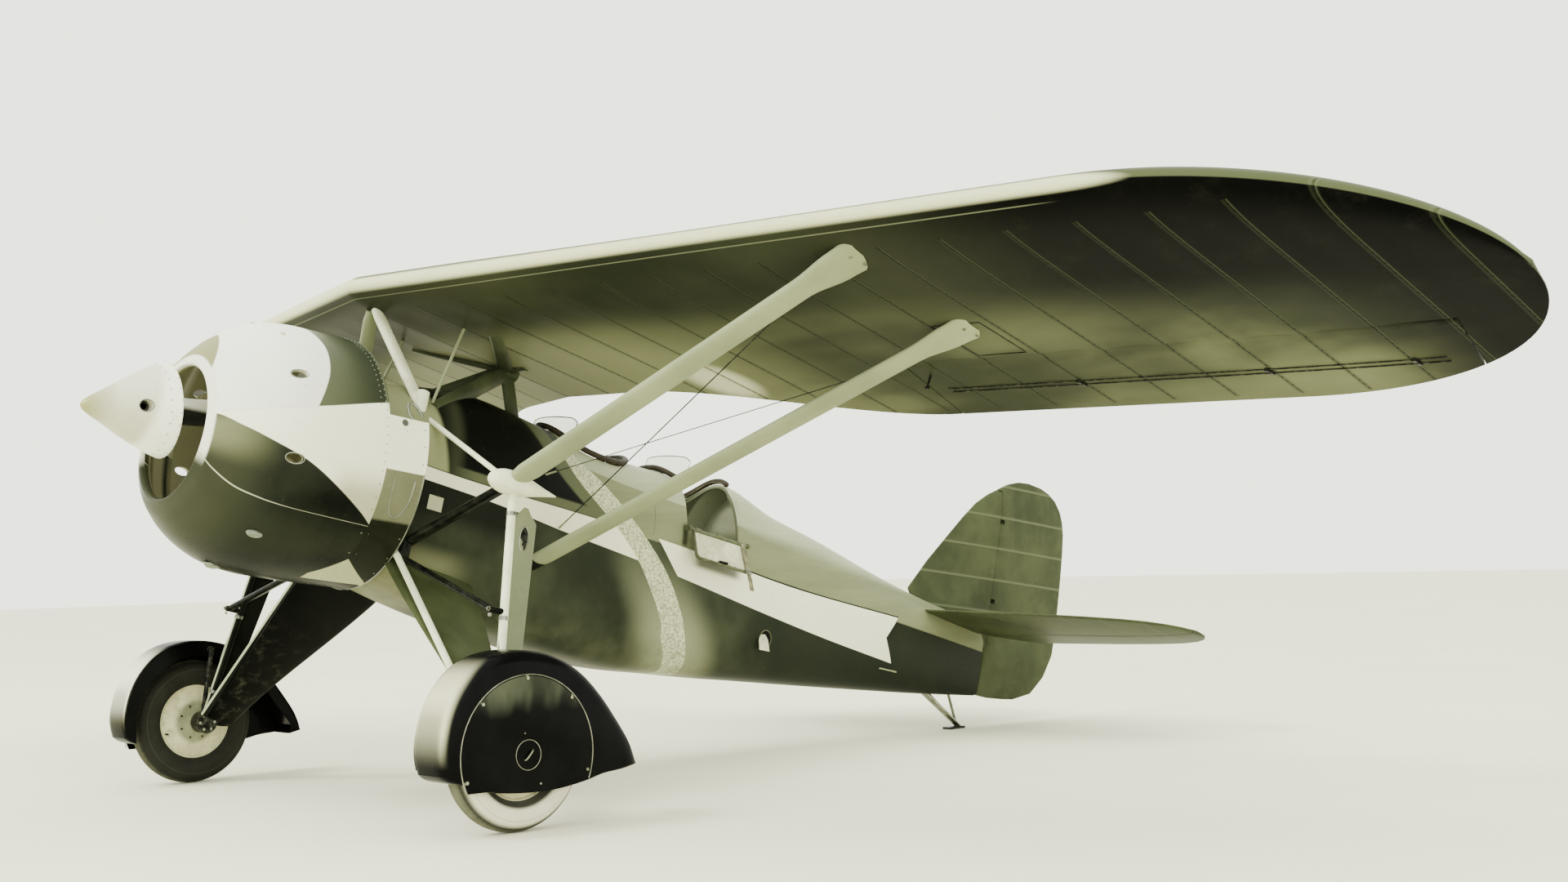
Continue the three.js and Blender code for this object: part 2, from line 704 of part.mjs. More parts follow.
const grownWing = (side) => join(
  wingSolid(side, CENTRE_HALF - 1, WING_END, SEAT_GAP),
  loft([-CENTRE_HALF, -150, 150, CENTRE_HALF].map((x) => wingRing(x, SEAT_GAP))),
);
const grownFuselage = () => join(
  fuselage(FIREWALL - SEAT_GAP, COCKPIT_FRONT, STEPS.front, SKIN_GAP),
  fuselage(COCKPIT_FRONT - 1, COCKPIT_REAR + 1, STEPS.cockpits, SKIN_GAP),
  fuselage(COCKPIT_REAR, RUDDER_POST, STEPS.rear, SKIN_GAP),
  box(vec(-36, RUDDER_POST - 4, -342), vec(36, RUDDER_POST + SKIN_GAP, 162)),
);

function apexBullet(side, grow = 0) {
  const profile = [
    [-130, 0],
    [-122, 24],
    [-90, 47],
    [-30, 60],
    [60, 52],
    [170, 25],
    [258, 4],
    [262, 0],
  ].map(([y, r]) => [y, r === 0 ? 0 : r + grow]);
  return turned(profile, 14).translate(side * APEX.x, APEX.y, APEX.z);
}

function liftStrut(side, foot, fromLead, chord, thick) {
  const top = underside(side * STRUT_STATION, fromLead);
  const past = top.clone().sub(foot).normalize();
  const end = top.clone().addScaledVector(past, 60);
  const reach = end.distanceTo(foot);
  const flare = 1 - 330 / reach;
  return strut(foot, end, [
    { at: 0, chord: chord * 0.62, thick },
    { at: 120 / reach, chord, thick },
    { at: flare, chord, thick },
    { at: 1 - 120 / reach, chord: chord * 1.55, thick: thick * 1.1, shift: chord * 0.1 },
    { at: 1, chord: chord * 1.75, thick: thick * 1.2, shift: chord * 0.14 },
  ]);
}

// Cabane: a pointed pair of legs in front and a four-armed pyramid behind, both under the wing's centre
function cabaneFront(side) {
  const foot = vec(side * 330, 1120, 300);
  const head = underside(0, 190).add(vec(side * 22, 0, 20));
  const leg = strut(foot, head, even(78, 34));
  const shoe = bar(vec(side * 330, 1120, 250), vec(side * 330, 1120, 372), 34);
  return mainBody(cut(join(leg, shoe), grownFuselage(), grownCentre()));
}

function cabaneRear() {
  const node = vec(0, 1800, 716);
  const arms = [];
  for (const side of [1, -1]) {
    arms.push(strut(vec(side * 318, 1215, 300), node, even(96, 36), vec(0, 0.4, -1)));
    arms.push(strut(node, underside(side * 400, 620).add(vec(0, 0, 20)), even(84, 34)));
    arms.push(strut(node, underside(side * 120, 1080).add(vec(0, 0, 20)), even(60, 30)));
  }
  arms.push(strut(vec(0, 1925, 400), node, even(84, 34)));
  arms.push(bar(node.clone().add(vec(0, -60, 0)), node.clone().add(vec(0, 60, 0)), 40));
  return mainBody(cut(join(...arms), grownFuselage(), grownCentre(), grownWing(1), grownWing(-1)));
}

const REAR_STRUT_FOOT = { x: 400, y: 1900, z: -370 };

function frontLiftStrut(side) {
  const foot = vec(side * APEX.x, APEX.y, APEX.z);
  const whole = liftStrut(side, foot, FRONT_SPAR, 140, 52);
  return mainBody(cut(whole, grownWing(side), apexBullet(side, SEAT_GAP)));
}

function rearLiftStrut(side) {
  const foot = vec(side * REAR_STRUT_FOOT.x, REAR_STRUT_FOOT.y, REAR_STRUT_FOOT.z);
  return mainBody(cut(liftStrut(side, foot, REAR_SPAR, 128, 46), grownWing(side), grownFuselage()));
}

// Where the gear meets: hub in the airframe's level frame
const hub = (side, across) => toLevel(side * across, 0, WHEEL_RADIUS);

// Fixed frame that holds the apex off the body: bullet, three struts and the lug that steadies the leg
function gearFrame(side, grow = 0) {
  const apex = vec(side * APEX.x, APEX.y, APEX.z);
  const fitting = vec(side * LEG_FITTING.x, LEG_FITTING.y, LEG_FITTING.z);
  const extra = 2 * grow;
  return join(
    apexBullet(side, grow),
    strut(vec(side * 330, 1165, 250), apex, even(34 + extra, 26 + extra)),
    strut(vec(side * 330, 1145, -455), apex, even(72 + extra, 36 + extra)),
    strut(vec(side * 330, 1145, -470), fitting, even(46 + extra, 30 + extra)),
    bar(vec(side * 425, 1135, -410 + grow), vec(side * 425, 1135, -500 - grow), 34 + grow),
    bar(fitting.clone().add(vec(0, -24 - grow, 0)), fitting.clone().add(vec(0, 52 + grow, 0)), 16 + grow),
  );
}

const gearFrameSeated = (side) => mainBody(cut(gearFrame(side), grownFuselage(), grownSkirtSpace()));

// Shock leg with its fairing plate, from the bullet to the wheel's inner axle end
function gearLeg(side) {
  const apex = vec(side * APEX.x, APEX.y + 12, APEX.z);
  const foot = hub(side, LEG_FOOT);
  const tube = bar(apex, foot, 21, 21, 14);
  const plate = strut(
    apex.clone().lerp(foot, 0.08).add(vec(0, 84, 0)),
    foot.clone().add(vec(0, 22, 30)),
    [
      { at: 0, chord: 60, thick: 16 },
      { at: 0.06, chord: 136, thick: 22 },
      { at: 0.62, chord: 136, thick: 26 },
      { at: 1, chord: 44, thick: 22 },
    ],
  );
  return mainBody(cut(join(tube, plate), gearFrame(side, SEAT_GAP), axleLeg(side, SEAT_GAP)));
}

// Along the arm that holds the spat's inner rim, from the hub at 0 to the rim at 1
const spatArm = (side, across, part) => toLevel(side * across, 60 * part, WHEEL_RADIUS + 402 * part);

// Broad faired leg from the body's lower edge to the wheel hub, with the axle on its end
function axleLeg(side, grow = 0) {
  const extra = 2 * grow;
  const front = { root: vec(side * 307, 1092, -383), tip: hub(side, LEG_FOOT).add(vec(0, -24, 0)) };
  const rear = { root: vec(side * 300, 1580, -570), tip: hub(side, LEG_FOOT).add(vec(0, 170, 20)) };
  const middle = (end) => front[end].clone().add(rear[end]).multiplyScalar(0.5);
  const chord = (end) => front[end].distanceTo(rear[end]) + extra;
  const blade = strut(middle("root"), middle("tip"), [
    { at: 0, chord: chord("root"), thick: 56 + extra },
    { at: 1, chord: chord("tip"), thick: 44 + extra },
  ]);
  return join(
    blade,
    bar(front.root, front.tip, 17 + grow),
    bar(hub(side, LEG_FOOT - 50), hub(side, AXLE_INNER), 60 + grow, 60 + grow, 20),
    bar(hub(side, LEG_FOOT), hub(side, AXLE_OUTER), AXLE_RADIUS + grow, AXLE_RADIUS + grow, 20),
    bar(spatArm(side, AXLE_INNER - 16, 0), spatArm(side, AXLE_INNER - 16, 1), 13 + grow),
    bar(spatArm(side, AXLE_INNER - 16, 1), spatArm(side, SPAT_INNER - SEAT_GAP, 1), 20 + grow),
  );
}

function axleLegSeated(side) {
  return mainBody(cut(axleLeg(side), grownFuselage(), grownSkirtSpace(), gearFrame(side, SEAT_GAP)));
}

// Spat outline from the side, standing frame, measured from the hub: {aft, up}
const SPAT_OUTLINE = [
  [-430, -60], [-446, 20], [-438, 110], [-408, 210], [-352, 305], [-268, 388], [-160, 440], [-40, 458],
  [95, 446], [220, 405], [330, 335], [425, 240], [510, 130], [590, 10], [632, -95],
  [560, -110], [450, -120], [330, -145], [180, -163], [0, -165], [-180, -150], [-300, -115], [-390, -88],
];

function spatBlock(side) {
  const widths = [
    { x: SPAT_INNER, inset: 0.03 },
    { x: SPAT_INNER + 40, inset: 0 },
    { x: SPAT_OUTER - 60, inset: 0 },
    { x: SPAT_OUTER - SPAT_WALL, inset: 0.035 },
    { x: SPAT_OUTER, inset: 0.12 },
  ];
  const rings = widths.map(({ x, inset }) =>
    SPAT_OUTLINE.map(([aft, up]) => {
      const keep = 1 - inset;
      return vec(side * x, aft * keep, WHEEL_RADIUS + up * (up > 0 ? keep : 1));
    }),
  );
  return loft(rings);
}

function spat(side) {
  const low = side * (SPAT_INNER - 30);
  const high = side * (SPAT_OUTER - SPAT_WALL);
  const hollow = bar(vec(low, 0, WHEEL_RADIUS), vec(high, 0, WHEEL_RADIUS), WHEEL_SPACE, WHEEL_SPACE, 40);
  const mouth = box(
    vec(Math.min(low, high), -WHEEL_SPACE, WHEEL_RADIUS - 400),
    vec(Math.max(low, high), WHEEL_SPACE, WHEEL_RADIUS),
  );
  const tail = loft([low, side * (SPAT_OUTER - 40)].map((x) => [
    vec(x, 300, WHEEL_RADIUS - 200),
    vec(x, 300, WHEEL_RADIUS + 200),
    vec(x, 420, WHEEL_RADIUS + 130),
    vec(x, 560, WHEEL_RADIUS - 60),
    vec(x, 540, WHEEL_RADIUS - 200),
  ]));
  return mainBody(cut(spatBlock(side), hollow, mouth, tail));
}

function wheelTurned(side, profile, segments = WHEEL_SIDES) {
  const points = profile.map(([across, radius]) => new THREE.Vector2(radius, across));
  const lathe = indexed(new THREE.LatheGeometry(points, segments));
  // a flat of the polygon lies on the ground
  return facingOut(lathe)
    .rotateY(Math.PI / segments)
    .rotateZ(-Math.PI / 2)
    .rotateX(Math.PI / 2)
    .translate((side * TRACK) / 2, 0, WHEEL_RADIUS);
}

function tyre(side) {
  const grow = 1 / Math.cos(Math.PI / WHEEL_SIDES);
  const half = TYRE_WIDTH / 2;
  return wheelTurned(side, [
    [-half * 0.6, RIM_RADIUS],
    [-half, RIM_RADIUS + 52],
    [-half * 0.86, RIM_RADIUS + 104],
    [-half * 0.25, WHEEL_RADIUS],
    [half * 0.25, WHEEL_RADIUS],
    [half * 0.86, RIM_RADIUS + 104],
    [half, RIM_RADIUS + 52],
    [half * 0.6, RIM_RADIUS],
    [-half * 0.6, RIM_RADIUS],
  ].map(([x, r]) => [x, r > WHEEL_RADIUS - 1 ? r * grow : r]));
}

function wheelDisc(side) {
  const bore = AXLE_RADIUS + 1;
  const rim = RIM_RADIUS - SEAT_GAP;
  return wheelTurned(side, [
    [-88, bore],
    [-88, 48],
    [-72, 62],
    [-34, rim - 16],
    [-44, rim],
    [44, rim],
    [34, rim - 16],
    [72, 62],
    [88, 48],
    [88, bore],
    [-88, bore],
  ]);
}

// Tail surfaces: rows run along the span, each with its leading and trailing edge

const EDGE = 14;

// Ring of a thin surface: {at, lead, trail}, thickest at the hinge line
function tailRing(row, hingeLine, place, thick) {
  const { lead, trail } = row;
  const steps = [0, 0.04, 0.14, 0.3, 0.5, 0.72, 0.9, 1];
  const side = (sign) =>
    steps.map((f) => {
      const y = lead + f * (trail - lead);
      const reach = y < hingeLine ? hingeLine - lead : trail - hingeLine;
      const away = Math.min(1, Math.abs(y - hingeLine) / Math.max(reach, 1));
      const full = EDGE + (row.full ?? 1) * (thick - EDGE) * (1 - away ** 1.7);
      const tipped = f === 0 || f === 1 ? EDGE * 0.45 : Math.max(full, EDGE);
      return place(row.at, y, (sign * tipped) / 2);
    });
  return [...side(1), ...side(-1).reverse()];
}

// {at: height, lead, trail}
const VERTICAL = [
  { at: -330, lead: 5990, trail: 6150, full: 0.55 },
  { at: -300, lead: 5900, trail: 6400, full: 0.6 },
  { at: -220, lead: 5800, trail: 6600, full: 0.7 },
  { at: -80, lead: 5600, trail: 6720 },
  { at: 90, lead: 5350, trail: 6790 },
  { at: 245, lead: 5208, trail: 6796 },
  { at: 470, lead: 5362, trail: 6792 },
  { at: 681, lead: 5529, trail: 6784 },
  { at: 850, lead: 5664, trail: 6772 },
  { at: 974, lead: 5774, trail: 6756, full: 0.9 },
  { at: 1060, lead: 5880, trail: 6730, full: 0.8 },
  { at: 1130, lead: 5990, trail: 6690, full: 0.6 },
  { at: 1190, lead: 6090, trail: 6625, full: 0.45 },
  { at: 1228, lead: 6190, trail: 6540, full: 0.3 },
  { at: 1246, lead: 6290, trail: 6450, full: 0.2 },
];
const FIN_TOP = 1118;

const upright = (at, y, off) => vec(off, y, at);

function verticalTail() {
  return loft(VERTICAL.map((row) => tailRing(row, RUDDER_HINGE, upright, TAIL_THICKNESS)));
}

function rudderSpace(nose, top) {
  const behind = box(vec(-200, RUDDER_HINGE, -600), vec(200, 7200, 1400));
  const post = bar(vec(0, RUDDER_HINGE, -600), vec(0, RUDDER_HINGE, 1400), nose, nose, 24);
  const over = box(vec(-200, 5800, top), vec(200, RUDDER_HINGE + 5, 1400));
  return join(behind, post, over);
}

// Lugs on the fin, each with a pin that the rudder turns on
function rudderLug(z) {
  const y = RUDDER_HINGE;
  const arm = box(vec(-8, y - 60, z - 9), vec(8, y, z + 9));
  return join(arm, bar(vec(0, y, z - 30), vec(0, y, z + 30), RUDDER_PIN, RUDDER_PIN, 20));
}

// The notch and bore in the rudder for a lug
function rudderNotch(z) {
  const y = RUDDER_HINGE;
  const bore = RUDDER_PIN + PIN_GAP;
  return join(
    bar(vec(0, y, z - 16), vec(0, y, z + 16), TAIL_THICKNESS / 2 + 6, TAIL_THICKNESS / 2 + 6, 24),
    bar(vec(0, y, z - 36), vec(0, y, z + 36), bore, bore, 20),
  );
}

function rudder() {
  const space = rudderSpace(TAIL_THICKNESS / 2 + 1, FIN_TOP);
  return mainBody(cut(common(verticalTail(), space), ...RUDDER_LUGS.map(rudderNotch)));
}

function fin() {
  const space = rudderSpace(TAIL_THICKNESS / 2 + HINGE_GAP, FIN_TOP - 8);
  const above = box(vec(-200, 5000, 0), vec(200, 7000, 1500));
  const solid = cut(common(verticalTail(), above), space, grownFuselage(), elevatorTube(PIN_GAP));
  return mainBody(join(solid, ...RUDDER_LUGS.map(rudderLug)));
}

// {at: distance out, lead, trail}
const HORIZONTAL = [
  { at: 20, lead: 5290, trail: 6390 },
  { at: 400, lead: 5335, trail: 6390 },
  { at: 900, lead: 5420, trail: 6375 },
  { at: 1250, lead: 5500, trail: 6345 },
  { at: 1480, lead: 5570, trail: 6300, full: 0.9 },
  { at: 1620, lead: 5640, trail: 6240, full: 0.75 },
  { at: 1715, lead: 5720, trail: 6170, full: 0.5 },
  { at: 1770, lead: 5810, trail: 6090, full: 0.3 },
  { at: 1790, lead: 5890, trail: 6020, full: 0.2 },
];

function horizontalTail(side) {
  const flat = (at, y, off) => vec(side * at, y, TAILPLANE_Z + off);
  return loft(HORIZONTAL.map((row) => tailRing(row, ELEVATOR_HINGE, flat, TAIL_THICKNESS)));
}

function elevatorTube(grow) {
  return bar(
    vec(-240, ELEVATOR_HINGE, TAILPLANE_Z),
    vec(240, ELEVATOR_HINGE, TAILPLANE_Z),
    16 + grow,
    16 + grow,
    24,
  );
}

function elevatorSpace(nose) {
  const behind = box(vec(-2000, ELEVATOR_HINGE, TAILPLANE_Z - 100), vec(2000, 7000, TAILPLANE_Z + 100));
  const post = bar(
    vec(-2000, ELEVATOR_HINGE, TAILPLANE_Z),
    vec(2000, ELEVATOR_HINGE, TAILPLANE_Z),
    nose,
    nose,
    24,
  );
  return join(behind, post);
}

// Wedge left free on both sides of the rudder for its swing
function rudderSwing(half) {
  const wide = half + 560 * Math.tan(THREE.MathUtils.degToRad(27));
  return loft([-60, 300].map((z) => [
    vec(-half, 5800, z),
    vec(half, 5800, z),
    vec(half, RUDDER_HINGE - 40, z),
    vec(wide, 6600, z),
    vec(-wide, 6600, z),
    vec(-half, RUDDER_HINGE - 40, z),
  ]));
}

function elevator() {
  const halves = [1, -1].map((side) =>
    mainBody(cut(common(horizontalTail(side), elevatorSpace(TAIL_THICKNESS / 2 + 1)), rudderSwing(75))),
  );
  return join(...halves, elevatorTube(0));
}

function stabiliser(side) {
  const hinge = elevatorSpace(TAIL_THICKNESS / 2 + HINGE_GAP);
  const finSpace = box(vec(-TAIL_THICKNESS / 2 - 1, 5000, 0), vec(TAIL_THICKNESS / 2 + 1, 7000, 300));
  return mainBody(cut(horizontalTail(side), hinge, grownFuselage(), finSpace));
}

function tailSkid() {
  const shoeEnd = toLevel(0, 4760, 8);
  const spring = strut(vec(0, 5455, -380), shoeEnd, [
    { at: 0, chord: 46, thick: 40 },
    { at: 1, chord: 30, thick: 56 },
  ]);
  const shoe = intoLevel(box(vec(-32, 4640, 0), vec(32, 4790, 16)));
  const prop = bar(vec(0, 5720, -330), toLevel(0, 4740, 12), 10);
  const ground = intoLevel(box(vec(-300, 4000, -300), vec(300, 6000, 0)));
  return mainBody(cut(join(spring, shoe, prop), grownFuselage(), ground));
}

// Geometry drawn in the standing frame, moved into the level frame
function intoLevel(geometry) {
  return geometry
    .translate(-LEVEL_ORIGIN.x, -LEVEL_ORIGIN.y, -LEVEL_ORIGIN.z)
    .rotateX(GROUND_ANGLE);
}

const grownCentre = () => loft([-CENTRE_HALF, -150, 150, CENTRE_HALF].map((x) => wingRing(x, SEAT_GAP)));

// Full disc of air that the cowl skirt stands in, kept clear by the struts
function grownSkirtSpace() {
  const front = COWL_LENGTH - 10;
  const back = COWL_LENGTH + SKIRT_LENGTH + 2;
  return cowlPlaced(turned([[front, 0], [front, COWL_RADIUS + 1], [back, COWL_RADIUS - 3], [back, 0]], 56));
}

// Cockpit fittings

function seat(y) {
  const base = box(vec(-190, y - 200, -420), vec(190, y + 200, -380));
  const back = strut(vec(0, y + 190, -400), vec(0, y + 250, 60), even(30, 380));
  const post = box(vec(-120, y - 120, -800), vec(120, y + 120, -385));
  return mainBody(cut(join(base, back, post), cabinOutside()));
}

// Everything but the cabin's inside, so that fittings reach its walls
function cabinOutside() {
  return cut(box(vec(-900, 1000, -1300), vec(900, 4500, 1200)), cabin(SEAT_GAP));
}

function instrumentPanel(y) {
  return mainBody(cut(box(vec(-500, y, 60), vec(500, y + 18, 600)), cabinOutside()));
}

// A bowed sheet that narrows upwards and leans back
const SCREEN = { halfWidth: 270, bow: 190, thick: 5, narrowing: 0.86, lean: 0.55 };

function windscreen(cockpit, height) {
  const middle = cockpit.y - cockpit.halfLength - 40 + SCREEN.bow;
  const rings = [];
  for (let i = 0; i <= 10; i++) {
    const turn = ((i - 5) / 5) * THREE.MathUtils.degToRad(62);
    const spot = (thick, up) => {
      const scale = up ? SCREEN.narrowing : 1;
      const x = (SCREEN.halfWidth + thick) * Math.sin(turn) * scale;
      const y = middle - (SCREEN.bow + thick) * Math.cos(turn) * scale;
      return up ? vec(x, y + SCREEN.lean * height, 395 + height) : vec(x, y, 150);
    };
    rings.push([spot(SCREEN.thick, false), spot(SCREEN.thick, true), spot(0, true), spot(0, false)]);
  }
  return mainBody(cut(loft(rings), grownFuselage(), coaming(cockpit, SEAT_GAP)));
}

const coamingRoll = (cockpit) => mainBody(cut(coaming(cockpit), grownFuselage()));

// The side door of the rear cockpit, folded down against the body on its lower edge
function cockpitDoor() {
  const x = smooth(FUSELAGE, "y", "width", 3180) + 30;
  const leaf = box(vec(0, DOOR.front + 6, -DOOR.height), vec(DOOR.thick, DOOR.rear - 6, 0))
    .rotateY(THREE.MathUtils.degToRad(-DOOR.leafAngle))
    .translate(x, 0, DOOR.sill - 20);
  return join(leaf, doorPin(DOOR.front - 20, DOOR.rear + 20, DOOR.pin));
}

const group = new THREE.Group();
const airframe = new THREE.Group();
airframe.rotation.x = -GROUND_ANGLE;
airframe.position.copy(LEVEL_ORIGIN);
const standing = new THREE.Group();
group.add(airframe, standing);

function add(parent, name, geometry, paint) {
  const flat = geometry.index ? geometry.toNonIndexed() : geometry;
  flat.computeVertexNormals();
  const mesh = new THREE.Mesh(flat, new THREE.MeshStandardMaterial(paint));
  mesh.name = name;
  parent.add(mesh);
}

// Nose
add(airframe, "cowl_ring", cowlRing(), PAINT.silver);
add(airframe, "cowl_skirt", cowlSkirt(), PAINT.silver);
add(airframe, "engine", engine(), PAINT.steel);
add(airframe, "spinner", spinner(), PAINT.silver);
add(airframe, "propeller_hub", propellerHub(), PAINT.steel);
add(airframe, "fuselage_front", fuselageFront(), PAINT.green);
add(airframe, "fuselage_cockpits", fuselageCockpits(), PAINT.green);
add(airframe, "fuselage_rear", fuselageRear(), PAINT.green);
add(airframe, "wing_centre", wingCentre(), PAINT.fabric);
add(airframe, "cabane_rear", cabaneRear(), PAINT.darkGreen);
for (const [side, name] of [[1, "port"], [-1, "starboard"]]) {
  add(airframe, `wing_${name}`, wingPanel(side), PAINT.fabric);
  add(airframe, `aileron_${name}`, aileron(side), PAINT.fabric);
  add(airframe, `cabane_front_${name}`, cabaneFront(side), PAINT.strut);
  add(airframe, `lift_strut_front_${name}`, frontLiftStrut(side), PAINT.strut);
  add(airframe, `lift_strut_rear_${name}`, rearLiftStrut(side), PAINT.strut);
  add(airframe, `gear_leg_${name}`, gearLeg(side), PAINT.strut);
  add(airframe, `gear_frame_${name}`, gearFrameSeated(side), PAINT.strut);
  add(airframe, `axle_leg_${name}`, axleLegSeated(side), PAINT.darkGreen);
  add(standing, `spat_${name}`, spat(side), PAINT.black);
  add(standing, `tyre_${name}`, tyre(side), PAINT.rubber);
  add(standing, `wheel_${name}`, wheelDisc(side), PAINT.cream);
  add(airframe, `stabiliser_${name}`, stabiliser(side), PAINT.fabric);
}

// Tail
add(airframe, "fin", fin(), PAINT.fabric);
add(airframe, "rudder", rudder(), PAINT.fabric);
add(airframe, "elevator", elevator(), PAINT.fabric);
add(airframe, "tail_skid", tailSkid(), PAINT.steel);

// Cockpits
add(airframe, "seat_front", seat(2360), PAINT.leather);
add(airframe, "seat_rear", seat(3200), PAINT.leather);
add(airframe, "panel_front", instrumentPanel(2010), PAINT.darkGreen);
add(airframe, "panel_rear", instrumentPanel(2850), PAINT.darkGreen);
add(airframe, "windscreen_front", windscreen(COCKPITS.front, 150), PAINT.glass);
add(airframe, "windscreen_rear", windscreen(COCKPITS.rear, 150), PAINT.glass);
add(airframe, "coaming_front", coamingRoll(COCKPITS.front), PAINT.leather);
add(airframe, "coaming_rear", coamingRoll(COCKPITS.rear), PAINT.leather);
add(airframe, "cockpit_door", cockpitDoor(), PAINT.green);

// The origin lies under the middle of the whole length
const reach = new THREE.Box3().setFromObject(group, true);
group.position.y = -(reach.min.y + reach.max.y) / 2;

export default group;
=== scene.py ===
import math

import bmesh
import bpy
import numpy as np
from mathutils import Matrix, Vector


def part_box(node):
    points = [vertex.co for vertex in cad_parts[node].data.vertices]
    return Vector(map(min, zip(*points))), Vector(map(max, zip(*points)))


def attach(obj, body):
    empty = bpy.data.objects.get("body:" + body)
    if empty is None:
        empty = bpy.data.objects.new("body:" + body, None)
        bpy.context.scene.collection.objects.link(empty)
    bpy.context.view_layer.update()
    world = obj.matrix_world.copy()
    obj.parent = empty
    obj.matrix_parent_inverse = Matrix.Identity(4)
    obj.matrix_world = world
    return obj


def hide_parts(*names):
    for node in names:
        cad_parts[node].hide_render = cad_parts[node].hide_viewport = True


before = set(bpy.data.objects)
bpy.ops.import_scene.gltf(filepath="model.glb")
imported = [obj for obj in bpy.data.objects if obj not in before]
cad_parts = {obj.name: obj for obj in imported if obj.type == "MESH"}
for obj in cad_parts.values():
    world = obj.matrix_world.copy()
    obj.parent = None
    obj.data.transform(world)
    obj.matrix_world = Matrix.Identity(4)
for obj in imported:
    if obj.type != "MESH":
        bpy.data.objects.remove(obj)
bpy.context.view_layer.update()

SIDES = (("port", 1), ("starboard", -1))

# Frames: drawings are in millimetres, in the level airframe, along the thrust line or standing
TILT = math.radians(14)
DROOP = math.radians(5)
DROOP_PIVOT = 1000
LEVEL_Y, LEVEL_Z = -824, 1990
tyre_low, tyre_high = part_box("tyre_port")
SHIFT = 500 * (tyre_low[1] + tyre_high[1])
AXLE_Y, AXLE_Z = SHIFT / 1000, 0.345


def turned_x(points, angle, pivot=0.0):
    p = np.array(points, float).reshape(-1, 3)
    y, z = p[:, 1] - pivot, p[:, 2].copy()
    p[:, 1] = pivot + y * math.cos(angle) - z * math.sin(angle)
    p[:, 2] = y * math.sin(angle) + z * math.cos(angle)
    return p


LEVEL_ORIGIN = turned_x([(0, (LEVEL_Y + SHIFT) / 1000, LEVEL_Z / 1000)], TILT)[0]


def standing(points):
    p = np.array(points, float).reshape(-1, 3)
    return (p + (0, SHIFT, 0)) / 1000


def level(points):
    return standing(turned_x(points, -TILT) + (0, LEVEL_Y, LEVEL_Z))


def nose(points):
    return level(turned_x(points, DROOP, DROOP_PIVOT))


# the propeller shaft and the engine lean further forward than the cowl
SHAFT_DROOP, SHAFT_PIVOT = math.radians(7.25), -452


def shaft(points):
    return nose(turned_x(points, SHAFT_DROOP, SHAFT_PIVOT))


COWL_DROP, COWL_RAKE = 40, 0.06


def cowl(points):
    p = np.array(points, float).reshape(-1, 3)
    p[:, 1] += COWL_RAKE * p[:, 2] * np.clip(1 - p[:, 1] / 420, 0, 1)
    return nose(p - (0, 0, COWL_DROP))


def metres(points):
    return np.asarray(points, float) / 1000


def to_level(points):
    p = np.array(points, float).reshape(-1, 3) - (0, LEVEL_Y, LEVEL_Z)
    return turned_x(p, TILT)


# Meshes
def finish_mesh(obj, crease=35):
    mesh = bmesh.new()
    mesh.from_mesh(obj.data)
    bmesh.ops.remove_doubles(mesh, verts=mesh.verts, dist=1e-6)
    bmesh.ops.recalc_face_normals(mesh, faces=mesh.faces)
    mesh.to_mesh(obj.data)
    mesh.free()
    obj.data.shade_smooth()
    obj.data.set_sharp_from_angle(angle=math.radians(crease))


def raw_object(name, points, faces, material=None):
    data = bpy.data.meshes.new(name)
    data.from_pydata([tuple(p) for p in points], [], faces)
    obj = bpy.data.objects.new(name, data)
    bpy.context.scene.collection.objects.link(obj)
    if material:
        data.materials.append(material)
    return obj


def closed_object(name, shape, material=None):
    obj = raw_object(name, *shape, material)
    finish_mesh(obj)
    return obj


def placed(transform, shape):
    points, faces = merged(*shape) if isinstance(shape, list) else shape
    return transform(points), faces


def piece(name, transform, shape, material, body="airframe", replaces=(), crease=35):
    obj = raw_object(name, *placed(transform, shape), material)
    return settle(obj, body, replaces, crease)


def settle(obj, body="airframe", replaces=(), crease=35):
    finish_mesh(obj, crease)
    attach(obj, body)
    if replaces:
        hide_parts(*replaces)
    return obj


def grid_faces(rows, columns, closed=False):
    faces = []
    for i in range(rows if closed else rows - 1):
        this, following = i * columns, (i + 1) % rows * columns
        for j in range(columns):
            k = (j + 1) % columns
            faces.append((this + j, this + k, following + k, following + j))
    if not closed:
        faces.append(tuple(range(columns)))
        faces.append(tuple(range((rows - 1) * columns, rows * columns)))
    return faces


def loft(rings):
    points = np.concatenate([np.asarray(ring, float) for ring in rings])
    return points, grid_faces(len(rings), len(rings[0]))


def merged(*parts):
    points, faces, start = [], [], 0
    for p, f in parts:
        points.append(np.asarray(p, float).reshape(-1, 3))
        faces += [tuple(i + start for i in face) for face in f]
        start += len(points[-1])
    return np.concatenate(points), faces


def unit(vector):
    return np.asarray(vector, float) / np.linalg.norm(vector)


def basis(along):
    along = unit(along)
    other = (0, 0, 1) if abs(along[2]) < 0.9 else (0, 1, 0)
    u = unit(np.cross(other, along))
    return along, u, np.cross(along, u)


def full_turn(count):
    return np.arange(count) * 2 * math.pi / count


def spokes(turns, u, v):
    return np.outer(np.cos(turns), u) + np.outer(np.sin(turns), v)


def rod(start, end, radius, end_radius=None, sides=16, steps=1):
    start, end = np.asarray(start, float), np.asarray(end, float)
    end_radius = radius if end_radius is None else end_radius
    _, u, v = basis(end - start)
    spread = spokes(full_turn(sides), u, v)
    rings = []
    for t in np.linspace(0, 1, steps + 1):
        rings.append(start + (end - start) * t + spread * (radius + (end_radius - radius) * t))
    return loft(rings)


